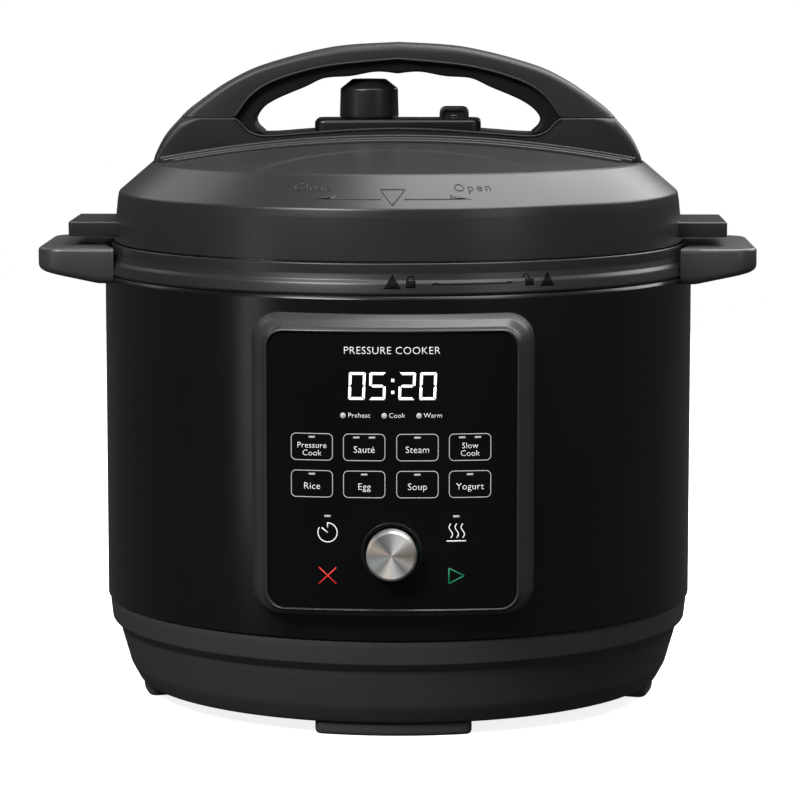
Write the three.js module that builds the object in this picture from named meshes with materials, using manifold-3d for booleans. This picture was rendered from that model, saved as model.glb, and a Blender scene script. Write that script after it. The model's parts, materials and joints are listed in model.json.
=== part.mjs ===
// Electric pressure cooker, six-quart class. Millimetres, +Z up, front of the cooker towards -Y.
// The origin is on the floor, on the axis of the pot.
import * as THREE from "three";
import { mergeVertices } from "three/addons/utils/BufferGeometryUtils.js";
import Module from "manifold-3d";

const wasm = await Module();
wasm.setup();

// ---------------------------------------------------------------- driving dimensions

const GAP = 0.3; // clearance between pieces that touch or are screwed together
const ROUND = 40; // facets on the large turned pieces
const SMALL_ROUND = 20; // facets on the small turned pieces

const FOOT = { inner: 104, outer: 121, halfAngle: 0.3, height: 5.7, edge: 1.5 };
const BASE = { floor: 6, top: 45.7, wall: 3, ring: 136.4 };
const SHELL = { radius: 137.5, wall: 1.2, bottom: 46.2, top: 198 };
const COLLAR = { top: 212, channel: 190, inner: 131.2 };
const LINER = {
  radius: 118.2, wall: 1.2, bottom: 40, mouth: 89.5,
  flange: 122, lug: 126, lugZ: 201.5, top: 204.5,
};
const POT = { radius: 111.2, wall: 1.2, bottom: 48, rim: 119.4, rimZ: 204.8, top: 206.5 };
const LUGS = { count: 6, halfAngle: Math.PI / 15 };
const PLATE = { radius: 129.2, wall: 1.2, skirtZ: 196, lug: 121.2, lugTop: 199, under: 218 };
const LID = {
  skirt: 133.4, bottom: 212.6, shoulder: 131.3, shoulderZ: 234,
  step: 114.3, stepZ: 249.4, peak: 260,
};
const DOME = { edge: 112.3, edgeZ: 249.1, wall: 2.4 };
const SIDE_HANDLE = {
  inner: 118, root: 137.8, tip: 166, halfWidth: 43, corner: 12, edge: 1.5,
  top: 209, tipUnder: 200.6, rootUnder: 194.7,
};
const FIN = { root: 133.8, tip: 152.8, halfWidth: 25.8, bottom: 213, top: 222.2, edge: 1.6 };
const PANEL = { halfWidth: 62, bottom: 56.5, top: 190.3, corner: 12, slope: 5, rise: 8 };
const FASCIA = { halfWidth: 55.2, bottom: 61, top: 182.5, corner: 5.7, front: 146, bend: 240, thick: 3 };
const DIAL = { z: 87, radius: 10.95, front: 156, back: 146.8, well: 13.6 };
const ENCODER = { half: 6, back: 139, shaft: 2, bore: 2.4, rotor: 3.1 };
const FAR = 250; // reach of a cutting solid that runs past the whole cooker
const BOARD = { halfWidth: 45, bottom: 70, top: 174, front: -133, thick: 1.6 };
const HANDLE = { half: 17, baseHalf: 21, split: 270, edge: 2 };
const DECK = { half: 38.7, halfDepth: 15, top: 269, under: 267.8, bottom: 264.2 };
const VALVE = { x: -13.6, radius: 13.8, neck: 7.3, top: 287.3, stem: 4 };
const BUTTON = { x: 26.2, half: 6.85, top: 274.5, stem: 3 };
const LEVER = { pivotX: -3.65, pivotZ: 264.9, thick: 1.4, halfWidth: 6.5, pin: 0.9 };
const FLOAT = { x: 9.7, y: 10.5, radius: 2.4, top: 268.5, head: 5.2 };
const HEATER = { plate: 88, under: 38, top: 47.7, coil: 60, tube: 3.6 };
const SENSOR = { radius: 12, bottom: 39, cup: 25.5, spring: 7.5, wire: 0.8, turns: 4 };
const INLET = {
  halfWidth: 15, bottom: 12, top: 33, back: 105, face: 128,
  mouth: 12, mouthBottom: 14.5, mouthTop: 30.5,
};
const CUP = { half: 28, rim: 30.5, front: 139, back: 156, bottom: 150, rimZ: 190.6, top: 192.4, wall: 1.5 };
const SCREWS = { lid: 58, base: 92, shank: 2, head: 4 };

// ---------------------------------------------------------------- materials

const finish = (color, roughness, metalness) =>
  new THREE.MeshStandardMaterial({ color, roughness, metalness });

const GLOSS_SHELL = finish(0x141416, 0.22, 0.4);
const MATTE_BASE = finish(0x2c2d2f, 0.62, 0);
const LID_PLASTIC = finish(0x2a2b2d, 0.42, 0);
const GRIP_PLASTIC = finish(0x232426, 0.5, 0);
const LINER_PLASTIC = finish(0x161718, 0.6, 0);
const BEZEL_PLASTIC = finish(0x3a3b3e, 0.35, 0);
const PANEL_GLOSS = finish(0x0c0c0e, 0.12, 0);
const RUBBER = finish(0x1c1c1c, 0.85, 0);
const SILICONE = finish(0xd9d8d2, 0.6, 0);
const STEEL = finish(0xc4c6c8, 0.28, 1);
const ALUMINIUM = finish(0xb9bbbd, 0.35, 1);
const CIRCUIT = finish(0x1d4a2c, 0.55, 0);
const CLEAR_CUP = finish(0xb8bcc0, 0.15, 0);
const BRASS = finish(0xb8923f, 0.3, 1);

// ---------------------------------------------------------------- solids from three.js geometry

/** Signed volume of an indexed triangle list; negative when its faces point inwards. */
function signedVolume(position, triangles) {
  const corner = [new THREE.Vector3(), new THREE.Vector3(), new THREE.Vector3()];
  let sum = 0;
  for (let i = 0; i < triangles.length; i += 3) {
    corner.forEach((point, k) => point.fromBufferAttribute(position, triangles[i + k]));
    sum += corner[0].dot(corner[1].clone().cross(corner[2]));
  }
  return sum / 6;
}

/** A closed geometry as a manifold solid with its faces pointing out. */
function solid(geometry) {
  geometry.deleteAttribute("normal");
  geometry.deleteAttribute("uv");
  const merged = mergeVertices(geometry, 1e-4);
  const position = merged.getAttribute("position");
  const triangles = [];
  for (let i = 0; i < merged.index.count; i += 3) {
    const [a, b, c] = merged.index.array.slice(i, i + 3);
    if (a !== b && b !== c && c !== a) triangles.push(a, b, c);
  }
  if (signedVolume(position, triangles) < 0) triangles.reverse();
  const vertProperties = Float32Array.from(position.array);
  const triVerts = Uint32Array.from(triangles);
  return new wasm.Manifold(new wasm.Mesh({ numProp: 3, vertProperties, triVerts }));
}

/** A manifold solid as a three.js geometry. */
function geometryOf(body) {
  const mesh = body.getMesh();
  const geometry = new THREE.BufferGeometry();
  geometry.setAttribute("position", new THREE.BufferAttribute(mesh.vertProperties, 3));
  geometry.setIndex(new THREE.BufferAttribute(mesh.triVerts, 1));
  geometry.computeVertexNormals();
  return geometry;
}

/** Turned about the vertical through (x, y). A profile off the axis closes on itself. */
function turned(profile, segments = ROUND, x = 0, y = 0) {
  const points = profile.map(([radius, z]) => new THREE.Vector2(radius, z));
  if (profile[0][0] > 0) points.push(points[0].clone());
  const geometry = new THREE.LatheGeometry(points, segments);
  geometry.rotateX(Math.PI / 2);
  geometry.translate(x, y, 0);
  return solid(geometry);
}

/** A turned piece whose axis runs from the back (+Y) to the front (-Y) at height z. */
function turnedFacingFront(profile, z, segments = SMALL_ROUND) {
  const points = profile.map(([radius, forward]) => new THREE.Vector2(radius, forward));
  if (profile[0][0] > 0) points.push(points[0].clone());
  const geometry = new THREE.LatheGeometry(points, segments);
  geometry.rotateX(Math.PI);
  geometry.translate(0, 0, z);
  return solid(geometry);
}

/** An upright round bar. */
function bar(radius, low, high, x = 0, y = 0, segments = SMALL_ROUND) {
  return turned([[0, low], [radius, low], [radius, high], [0, high]], segments, x, y);
}

/** A box from its limits. */
function box([x0, x1], [y0, y1], [z0, z1]) {
  const geometry = new THREE.BoxGeometry(x1 - x0, y1 - y0, z1 - z0);
  geometry.translate((x0 + x1) / 2, (y0 + y1) / 2, (z0 + z1) / 2);
  return solid(geometry);
}

/** An outline drawn in X and Z, extruded from the back y to the front y. */
function extrudedFront(shape, back, front, bevel = null) {
  const lip = bevel ? bevel.rise : 0;
  const geometry = new THREE.ExtrudeGeometry(shape, {
    depth: back - front - 2 * lip,
    curveSegments: 5,
    bevelEnabled: bevel !== null,
    bevelThickness: lip,
    bevelSize: bevel ? bevel.inset : 0,
    bevelOffset: bevel ? -bevel.inset : 0,
    bevelSegments: 1,
  });
  geometry.translate(0, 0, lip);
  geometry.rotateX(Math.PI / 2);
  geometry.translate(0, back, 0);
  return solid(geometry);
}

/** An outline drawn in X and Y, extruded upwards from low to high. */
function extrudedUp(shape, low, high, edge = 0) {
  const geometry = new THREE.ExtrudeGeometry(shape, {
    depth: high - low - 2 * edge,
    curveSegments: 6,
    bevelEnabled: edge > 0,
    bevelThickness: edge,
    bevelSize: edge,
    bevelOffset: -edge,
    bevelSegments: 1,
  });
  geometry.translate(0, 0, low + edge);
  return solid(geometry);
}

/** A rounded rectangle outline from its limits. */
function roundedRect([x0, x1], [y0, y1], corner) {
  const shape = new THREE.Shape();
  shape.moveTo(x0 + corner, y0);
  shape.lineTo(x1 - corner, y0);
  shape.absarc(x1 - corner, y0 + corner, corner, -Math.PI / 2, 0);
  shape.absarc(x1 - corner, y1 - corner, corner, 0, Math.PI / 2);
  shape.absarc(x0 + corner, y1 - corner, corner, Math.PI / 2, Math.PI);
  shape.absarc(x0 + corner, y0 + corner, corner, Math.PI, 1.5 * Math.PI);
  return shape;
}

/** Part of a ring about the origin, centred on an angle. */
function ringSector(inner, outer, middle, halfAngle) {
  const shape = new THREE.Shape();
  shape.absarc(0, 0, outer, middle - halfAngle, middle + halfAngle, false);
  shape.absarc(0, 0, inner, middle + halfAngle, middle - halfAngle, true);
  return shape;
}

/** The right half of an outline, given from top to bottom, closed with its mirror image. */
function mirroredShape(half) {
  const left = half.map((point) => new THREE.Vector2(-point.x, point.y)).reverse();
  const distinct = (point, i, all) => i === 0 || point.distanceTo(all[i - 1]) > 1e-3;
  const closed = [...half, ...left].filter(distinct);
  if (closed[0].distanceTo(closed[closed.length - 1]) < 1e-3) closed.pop();
  return new THREE.Shape(closed);
}

const at = (pairs) => pairs.map(([x, y]) => new THREE.Vector2(x, y));
const smooth = (pairs, count) => new THREE.SplineCurve(at(pairs)).getPoints(count);
const cut = (body, ...tools) => tools.reduce((rest, tool) => rest.subtract(tool), body);
const join = (body, ...others) => others.reduce((sum, other) => sum.add(other), body);

/** Bayonet lugs: equal sectors around the pot's axis. */
function lugRing(inner, outer, low, high) {
  const sectors = [];
  for (let i = 0; i < LUGS.count; i += 1) {
    const middle = (i * 2 * Math.PI) / LUGS.count;
    sectors.push(extrudedUp(ringSector(inner, outer, middle, LUGS.halfAngle), low, high));
  }
  return sectors;
}

const cooker = new THREE.Group();

function piece(name, body, material) {
  const mesh = new THREE.Mesh(geometryOf(body), material);
  mesh.name = name;
  cooker.add(mesh);
}

// ---------------------------------------------------------------- housing

function buildFeet() {
  const sides = { right: 0, back: Math.PI / 2, left: Math.PI, front: -Math.PI / 2 };
  for (const [side, middle] of Object.entries(sides)) {
    const outline = ringSector(FOOT.inner, FOOT.outer, middle, FOOT.halfAngle);
    piece(`foot_${side}`, extrudedUp(outline, 0, FOOT.height, FOOT.edge), RUBBER);
  }
}

const screwAngles = [30, 150, 270].map((degrees) => THREE.MathUtils.degToRad(degrees));

function buildBase() {
  const bowl = turned([
    [0, BASE.floor], [122.6, BASE.floor], [126.9, 13.9], [131.7, 31], [135.7, 36.6],
    [BASE.ring, 44], [BASE.ring, BASE.top], [BASE.ring - BASE.wall, BASE.top],
    [132.6, 38], [128.6, 32], [124, 15], [121, BASE.floor + BASE.wall], [0, BASE.floor + BASE.wall],
  ]);
  const inletHole = box(
    [-INLET.halfWidth - GAP, INLET.halfWidth + GAP],
    [INLET.back, BASE.ring + 5],
    [INLET.bottom - GAP, INLET.top + GAP],
  );
  const screwHoles = screwAngles.map((angle) => bar(
    SCREWS.shank + GAP, 0, 20, SCREWS.base * Math.cos(angle), SCREWS.base * Math.sin(angle), 12,
  ));
  piece("base_housing", cut(bowl, inletHole, ...screwHoles), MATTE_BASE);
  screwAngles.forEach((angle, i) => {
    const x = SCREWS.base * Math.cos(angle);
    const y = SCREWS.base * Math.sin(angle);
    const head = bar(SCREWS.head, 3, BASE.floor - GAP, x, y, 12);
    piece(`base_screw_${i + 1}`, join(head, bar(SCREWS.shank, 4, 20, x, y, 12)), STEEL);
  });
}

function buildShell() {
  const inner = SHELL.radius - SHELL.wall;
  const barrel = turned([
    [inner, SHELL.bottom], [SHELL.radius, SHELL.bottom], [SHELL.radius, SHELL.top - 1.2],
    [SHELL.radius - 0.6, SHELL.top], [inner, SHELL.top],
  ]);
  const window = box([-49, 49], [-150, -100], [68, 176]);
  piece("body_shell", cut(barrel, window), GLOSS_SHELL);
}

function buildCollar() {
  const throat = LINER.radius + 1;
  piece("rim_collar", turned([
    [throat, COLLAR.channel - 2], [135.6, COLLAR.channel - 2], [135.6, SHELL.top + GAP + 0.1],
    [137.1, SHELL.top + GAP + 0.1], [136.2, 203.6], [134.7, 204.6], [134.4, COLLAR.top - 0.8],
    [133.6, COLLAR.top], [COLLAR.inner, COLLAR.top],
    [COLLAR.inner, COLLAR.channel], [throat, COLLAR.channel],
  ]), LID_PLASTIC);
}

function buildSideHandles() {
  const { inner, root, tip, halfWidth, corner, edge, top, tipUnder, rootUnder } = SIDE_HANDLE;
  for (const sign of [-1, 1]) {
    const across = [inner * sign, tip * sign].sort((a, b) => a - b);
    const outline = roundedRect(across, [-halfWidth, halfWidth], corner);
    const plan = extrudedUp(outline, rootUnder - 10, top, edge);
    const under = [[root, rootUnder], [inner, rootUnder]];
    const side = [[inner, FAR], [FAR, FAR], [FAR, tipUnder + 1], [tip, tipUnder], ...under];
    const shape = new THREE.Shape(at(side.map(([x, z]) => [x * sign, z])));
    const wedge = extrudedFront(shape, halfWidth + 5, -halfWidth - 5);
    const barrel = bar(root, 0, FAR, 0, 0, ROUND);
    piece(`side_handle_${sign < 0 ? "left" : "right"}`, cut(plan.intersect(wedge), barrel), GRIP_PLASTIC);
  }
}

// ---------------------------------------------------------------- control panel

/** An upright cylinder that shares its axis with the fascia's bend. */
const bend = (radius) => bar(radius, 0, FAR, 0, FASCIA.bend - FASCIA.front, 160);

function buildBezel() {
  const outline = roundedRect([-PANEL.halfWidth, PANEL.halfWidth], [PANEL.bottom, PANEL.top], PANEL.corner);
  const block = extrudedFront(outline, -100, -FASCIA.front - 2, { rise: PANEL.rise, inset: PANEL.slope });
  const behind = bend(FASCIA.bend - FASCIA.thick - GAP);
  const seat = extrudedFront(fasciaOutline(GAP), -110, -160).subtract(behind);
  const window = extrudedFront(roundedRect([-50, 50], [66, 177], 4), -100, -160);
  const barrel = bar(SHELL.radius + GAP, 0, FAR, 0, 0, ROUND);
  const curved = block.intersect(bend(FASCIA.bend - 0.5));
  piece("control_bezel", cut(curved, barrel, seat, window), BEZEL_PLASTIC);
}

function fasciaOutline(margin) {
  const half = FASCIA.halfWidth + margin;
  return roundedRect([-half, half], [FASCIA.bottom - margin, FASCIA.top + margin], FASCIA.corner);
}

function buildFascia() {
  const slab = extrudedFront(fasciaOutline(0), -110, -160);
  const sheet = slab.intersect(bend(FASCIA.bend)).subtract(bend(FASCIA.bend - FASCIA.thick));
  const well = turnedFacingFront([[0, 120], [DIAL.well, 120], [DIAL.well, 160], [0, 160]], DIAL.z, 32);
  piece("control_fascia", cut(sheet, well), PANEL_GLOSS);
  const surround = [[11.6, 143], [13.3, 143], [13.3, 145.6], [11.6, 145.2]];
  piece("dial_surround", turnedFacingFront(surround, DIAL.z, 32), LINER_PLASTIC);
}

function buildElectronics() {
  const back = BOARD.front + BOARD.thick;
  const board = box([-BOARD.halfWidth, BOARD.halfWidth], [BOARD.front, back], [BOARD.bottom, BOARD.top]);
  piece("control_board", board, CIRCUIT);
  piece("display_module", box([-24, 24], [-141, BOARD.front - GAP], [150, 170]), LINER_PLASTIC);
  const card = box([-70, -8], [-55, 40], [13, 14.6]);
  const relay = box([-62, -42], [-40, -24], [14.5, 25]);
  const transformer = box([-36, -14], [-4, 20], [14.5, 26]);
  const capacitor = bar(6, 14.5, 25.5, -54, 20);
  piece("power_board", join(card, relay, transformer, capacitor), CIRCUIT);
}

/** A tube or a rod about the dial's axis, from its radii and how far forward it runs. */
const dialTube = (inner, outer, from, to) =>
  turnedFacingFront([[inner, from], [outer, from], [outer, to], [inner, to]], DIAL.z);

function buildDial() {
  const { half, back, shaft, bore, rotor } = ENCODER;
  const body = box([-half, half], [-back, BOARD.front - GAP], [DIAL.z - half, DIAL.z + half]);
  const bush = dialTube(0, rotor + 1.5, back - 0.5, back + 2.8);
  piece("encoder_body", cut(join(body, bush), dialTube(0, rotor + 0.4, back - 5, back + 11)), STEEL);
  piece("encoder_rotor", dialTube(bore, rotor, back - 4, back + 2.4), BRASS);
  piece("encoder_shaft", dialTube(0, shaft, back - 3.4, DIAL.front - 3.3), STEEL);
  piece("dial_cap", turnedFacingFront([
    [0, DIAL.front - 3], [shaft + GAP, DIAL.front - 3], [shaft + GAP, DIAL.back],
    [DIAL.radius, DIAL.back], [DIAL.radius, DIAL.front - 1],
    [DIAL.radius - 1, DIAL.front], [0, DIAL.front],
  ], DIAL.z, 32), ALUMINIUM);
}

// ---------------------------------------------------------------- heater and pots

function buildLiner() {
  const inner = LINER.radius - LINER.wall;
  const wall = turned([
    [LINER.mouth, LINER.bottom], [inner - 0.5, LINER.bottom], [LINER.radius, LINER.bottom + 2],
    [LINER.radius, LINER.lugZ], [LINER.flange, LINER.lugZ], [LINER.flange, LINER.top],
    [inner, LINER.top], [inner, LINER.bottom + 2.5], [inner - 1, LINER.bottom + 1.2],
    [LINER.mouth, LINER.bottom + 1.2],
  ]);
  piece("outer_pot", join(wall, ...lugRing(inner + 0.6, LINER.lug, LINER.lugZ, LINER.top)), STEEL);
}

function buildInnerPot() {
  const inner = POT.radius - POT.wall;
  piece("inner_pot", turned([
    [0, POT.bottom], [104, POT.bottom], [POT.radius, POT.bottom + 8], [POT.radius, 203],
    [POT.radius + 1, POT.rimZ], [POT.rim, POT.rimZ], [POT.rim, POT.top], [POT.radius, POT.top],
    [inner, 205], [inner, POT.bottom + 9], [103.5, POT.bottom + 1.4], [0, POT.bottom + 1.4],
  ]), STEEL);
}

/** A coil about the vertical axis, narrowing upwards by its taper. */
class Helix extends THREE.Curve {
  constructor({ radius, taper = 0, low, high, turns }) {
    super();
    Object.assign(this, { radius, taper, low, high, turns });
  }

  getPoint(t, target = new THREE.Vector3()) {
    const angle = 2 * Math.PI * this.turns * t;
    const reach = this.radius - this.taper * t;
    const z = this.low + (this.high - this.low) * t;
    return target.set(reach * Math.cos(angle), reach * Math.sin(angle), z);
  }
}

/** Round wire swept along a helix; a flat fraction of a turn gives an open ring. */
function coil(path, wire, steps, x = 0) {
  const section = new THREE.Shape();
  section.absarc(0, 0, wire, 0, 2 * Math.PI);
  const extrudePath = new Helix(path);
  const geometry = new THREE.ExtrudeGeometry(section, { steps, curveSegments: 3, extrudePath });
  geometry.translate(x, 0, 0);
  return solid(geometry);
}

function buildHeater() {
  piece("heating_plate", turned([
    [13.5, HEATER.under], [HEATER.plate - 4, HEATER.under], [HEATER.plate, HEATER.under + 4],
    [HEATER.plate, HEATER.top - 1.5], [HEATER.plate - 1.5, HEATER.top], [13.5, HEATER.top],
  ]), ALUMINIUM);
  const coilZ = HEATER.under - GAP - HEATER.tube - 0.2;
  const loop = { radius: HEATER.coil, low: coilZ, high: coilZ, turns: 0.86 };
  piece("heating_element", coil(loop, HEATER.tube, 30), STEEL);
  piece("heat_shield", turned([[20, 27.5], [100, 27.5], [100, 28.5], [20, 28.5]]), STEEL);
  piece("thermal_fuse", box([-8, 8], [38, 42], [34, HEATER.under - GAP]), SILICONE);
}

function buildSensor() {
  const { radius, bottom, cup } = SENSOR;
  piece("temperature_sensor", turned([
    [0, 28], [2.5, 28], [2.5, bottom], [radius, bottom], [radius, HEATER.top - 1], [radius - 1, HEATER.top],
    [0, HEATER.top],
  ], 24), ALUMINIUM);
  piece("sensor_bracket", turned([
    [3.5, cup - 1.5], [radius + 1.4, cup - 1.5], [radius + 1.4, 36], [radius + 0.5, 36],
    [radius + 0.5, cup], [3.5, cup],
  ], 24), STEEL);
  const low = cup + SENSOR.wire + GAP;
  const high = bottom - SENSOR.wire - GAP;
  const winding = { radius: SENSOR.spring, low, high, turns: SENSOR.turns };
  piece("sensor_spring", coil(winding, SENSOR.wire, 36), STEEL);
}

// ---------------------------------------------------------------- power inlet and condensation cup

function buildInlet() {
  const pins = [[-7, 24.5], [7, 24.5], [0, 19.5]];
  const across = [-INLET.halfWidth, INLET.halfWidth];
  const block = box(across, [INLET.back + GAP, INLET.face], [INLET.bottom, INLET.top]);
  const mouth = box([-INLET.mouth, INLET.mouth], [112, 140], [INLET.mouthBottom, INLET.mouthTop]);
  const blade = (x, z, margin, back, front) => box(
    [x - 1 - margin, x + 1 + margin], [back, front], [z - 2 - margin, z + 2 + margin],
  );
  const slots = pins.map(([x, z]) => blade(x, z, GAP, 90, 120));
  piece("power_inlet", cut(block, mouth, ...slots), LINER_PLASTIC);
  pins.forEach(([x, z], i) => piece(`inlet_pin_${i + 1}`, blade(x, z, 0, 101, 125), STEEL));
}

function buildCup() {
  const { half, rim, front, back, bottom, rimZ, top, wall } = CUP;
  const outer = extrudedUp(roundedRect([-half, half], [front, back], 4), bottom, top);
  const flange = box([-rim, rim], [front, back - 2], [rimZ, top]);
  const inside = box([-half + wall, half - wall], [front + wall, back - wall], [bottom + wall, top + 5]);
  piece("condensation_cup", cut(join(outer, flange), inside), CLEAR_CUP);
  const roof = box([-33.5, 33.5], [110, 149.5], [top + 0.6, top + 4]);
  const rails = [-1, 1].flatMap((sign) => {
    const span = (a, b) => [a * sign, b * sign].sort((p, q) => p - q);
    return [
      box(span(31, 33.5), [110, 149.5], [187.8, top + 1]),
      box(span(28.5, 31.5), [110, 149.5], [187.8, rimZ - GAP]),
    ];
  });
  const barrel = bar(SHELL.radius + GAP, 150, 250, 0, 0, ROUND);
  piece("cup_bracket", cut(join(roof, ...rails), barrel), LID_PLASTIC);
}

// ---------------------------------------------------------------- lid

/** Height of the lid's dome, or of a surface parallel to it, at a distance from the axis. */
function domeZ(distance, offset = 0) {
  const drop = LID.peak - DOME.edgeZ;
  const radius = (DOME.edge ** 2 + drop ** 2) / (2 * drop);
  return LID.peak + offset - radius + Math.sqrt(radius ** 2 - distance ** 2);
}

const domeArc = (distances, offset) => distances.map((d) => [d, domeZ(d, offset)]);

function lidHoles() {
  const screws = [-1, 1].map((sign) => bar(SCREWS.shank + GAP, 200, 300, SCREWS.lid * sign, 0, 12));
  const vent = bar(VALVE.stem + 0.6, 200, 300, VALVE.x, 0);
  const float = bar(FLOAT.radius + 0.6, 200, 300, FLOAT.x, FLOAT.y);
  return [...screws, vent, float];
}

function buildLid() {
  const hollow = [
    [0, LID.bottom - 20], [LID.skirt - 2.6, LID.bottom - 20], [LID.skirt - 2.6, LID.bottom],
    [LID.shoulder - 2.4, 231], [127.4, 234.8], ...domeArc([DOME.edge, 75, 38, 0], -DOME.wall),
  ];
  const block = [
    [0, LID.bottom], [LID.skirt, LID.bottom], [LID.shoulder, LID.shoulderZ],
    [130.2, 236.6], [115.5, 248.5], [LID.step, LID.stepZ], ...domeArc([DOME.edge, 75, 38, 0], 0),
  ];
  piece("lid_cover", cut(turned(block), turned(hollow), ...lidHoles()), LID_PLASTIC);
  const top = PLATE.under + PLATE.wall;
  const plate = turned([
    [0, PLATE.under], [126, PLATE.under], [PLATE.radius - PLATE.wall, 215.5],
    [PLATE.radius - PLATE.wall, PLATE.skirtZ], [PLATE.radius, PLATE.skirtZ], [PLATE.radius, 216],
    [126.5, top], [0, top],
  ]);
  const lugs = lugRing(PLATE.lug, PLATE.radius - 0.6, PLATE.skirtZ, PLATE.lugTop);
  piece("lid_plate", cut(join(plate, ...lugs), ...lidHoles()), STEEL);
  const seat = PLATE.under - GAP;
  piece("ring_rack", turned([
    [109.3, 208], [111.2, 208], [111.2, 209.2], [110.2, 209.2], [110.2, seat], [109.3, seat],
  ]), STEEL);
  piece("sealing_ring", turned([
    [112, POT.top + GAP], [120.4, POT.top + GAP], [120.8, 209], [119.5, 216.8], [114, 216.8], [112, 214.5],
  ]), SILICONE);
}

function buildFins() {
  for (const sign of [-1, 1]) {
    const across = [120, FIN.tip].map((x) => x * sign).sort((a, b) => a - b);
    const plan = roundedRect(across, [-FIN.halfWidth, FIN.halfWidth], 4);
    const skirt = bar(FIN.root, 200, 240, 0, 0, ROUND);
    const block = extrudedUp(plan, FIN.bottom, FIN.top, FIN.edge);
    piece(`lid_fin_${sign < 0 ? "left" : "right"}`, cut(block, skirt), LID_PLASTIC);
  }
}

// ---------------------------------------------------------------- lid handle

const ARCH = [
  [0, 304.3], [30.5, 302.1], [61.3, 294.5], [78.5, 286.9], [95.1, 275.5], [101, HANDLE.split + GAP],
];
const LIP = [[75.5, HANDLE.split + GAP], [67.9, 280], [56.2, 287], [32.8, 293.4], [0, 296.7]];
const FINGERS = [
  [66.4, 269.3], [63, 274], [56, 278.5], [43, 284], [34, 288], [22, 289], [10, 291], [0, 290.2],
];

/** Everything below the dome, with a small clearance above it. */
function domeBlock() {
  return turned([
    [0, 200], [140, 200], [140, 240], [LID.step + 2, 248.6], [LID.step + 0.3, 249.8],
    ...domeArc([DOME.edge, 75, 38, 0], GAP),
  ]);
}

function buildHandle() {
  const bevel = { rise: HANDLE.edge, inset: HANDLE.edge };
  const baseHalf = at([
    [0, 265.4], [44.5, 263], [65, 261.9], [70.2, 264.2], [73.4, 268.9], [75.5, HANDLE.split],
    [101, HANDLE.split], [107.8, 262.2], [112.6, 254], [114, 246], [114, 240], [0, 240],
  ]);
  const base = extrudedFront(mirroredShape(baseHalf), HANDLE.baseHalf, -HANDLE.baseHalf, bevel);
  const leverBay = box([-24, 34], [-8, 8], [240, 280]);
  const holes = [...lidHoles().slice(0, 2), lidHoles()[3]];
  piece("handle_base", cut(base, domeBlock(), leverBay, ...holes), GRIP_PLASTIC);

  const grip = mirroredShape([...smooth(ARCH, 12), ...smooth(LIP, 8)]);
  piece("handle_grip", extrudedFront(grip, HANDLE.half, -HANDLE.half), GRIP_PLASTIC);

  const back = smooth(LIP.map(([x, z]) => [Math.max(x - 0.4, 0), z - 0.5]), 8).reverse();
  const fingers = smooth(FINGERS, 16);
  const strip = mirroredShape([...back, ...at([[72.6, 268.8], [69.6, 264.7], [65.6, 262.6]]), ...fingers]);
  piece("grip_liner", extrudedFront(strip, HANDLE.half - 3, -HANDLE.half + 3), LINER_PLASTIC);
}

function buildDeck() {
  const depth = [-DECK.halfDepth, DECK.halfDepth];
  const cap = extrudedUp(roundedRect([-DECK.half, DECK.half], depth, 4), 265.7, DECK.top);
  const bay = box([-24, 34], [-8, 8], [250, DECK.under]);
  const stemHole = bar(VALVE.stem + 0.6, 250, 300, VALVE.x, 0);
  const buttonHole = box([BUTTON.x - 4, BUTTON.x + 4], [-4, 4], [250, 300]);
  const floatHole = bar(FLOAT.radius + 0.6, 250, 300, FLOAT.x, FLOAT.y);
  piece("valve_deck", cut(cap, bay, stemHole, buttonHole, floatHole), LID_PLASTIC);
}

function buildSteamValve() {
  const knob = turned([
    [0, DECK.top + GAP], [VALVE.radius, DECK.top + GAP], [VALVE.radius - 0.3, 283],
    [VALVE.neck + 1.5, VALVE.top - 0.6], [VALVE.neck, VALVE.top], [0, VALVE.top],
  ], 32, VALVE.x);
  const socket = bar(VALVE.stem + GAP, 260, 277, VALVE.x, 0);
  piece("steam_valve_knob", cut(knob, socket), PANEL_GLOSS);
  const stem = bar(VALVE.stem, 262.3, 276.7, VALVE.x, 0);
  const collar = bar(6.4, 265.9, 266.7, VALVE.x, 0);
  piece("steam_valve_stem", join(stem, collar), STEEL);
  piece("vent_pipe", turned([[1.6, 212], [3.6, 212], [3.6, 262], [1.6, 262]], SMALL_ROUND, VALVE.x), STEEL);
  piece("anti_block_shield", turned([
    [0, 204], [13, 204], [14, 205], [14, PLATE.under - GAP], [13, PLATE.under - GAP], [13, 205], [0, 205],
  ], 24, VALVE.x), STEEL);
}

function buildRelease() {
  const { x, half, top, stem } = BUTTON;
  const outline = roundedRect([x - half, x + half], [-half, half], 2.5);
  const cap = extrudedUp(outline, DECK.top + GAP + 3, top, 0.8);
  const post = box([x - stem, x + stem], [-stem, stem], [266, top - 1]);
  piece("release_button", join(cap, post), PANEL_GLOSS);
  const winding = { radius: 6.2, taper: 1.2, low: DECK.top + 0.6, high: DECK.top + 2.7, turns: 2 };
  piece("button_spring", coil(winding, 0.28, 20, x), STEEL);

  const { pivotX, pivotZ, thick, halfWidth, pin } = LEVER;
  const layer = [pivotZ - thick / 2, pivotZ + thick / 2];
  const reach = halfWidth - 1.5;
  const arm = extrudedUp(roundedRect([VALVE.x + 2, x + 6.5], [-reach, reach], 2), ...layer);
  const fork = extrudedUp(roundedRect([VALVE.x - 1, VALVE.x + 8], [-halfWidth, halfWidth], 0.6), ...layer);
  const hub = pinBar(pin + 1.2, pivotX, pivotZ, 4.4);
  const eye = bar(VALVE.stem + 0.9, 250, 280, VALVE.x, 0);
  const bore = pinBar(pin + 0.2, pivotX, pivotZ, 9);
  piece("release_lever", cut(join(arm, fork, hub), eye, bore), STEEL);
  piece("lever_pin", pinBar(pin, pivotX, pivotZ, 7.7), STEEL);
}

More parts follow.
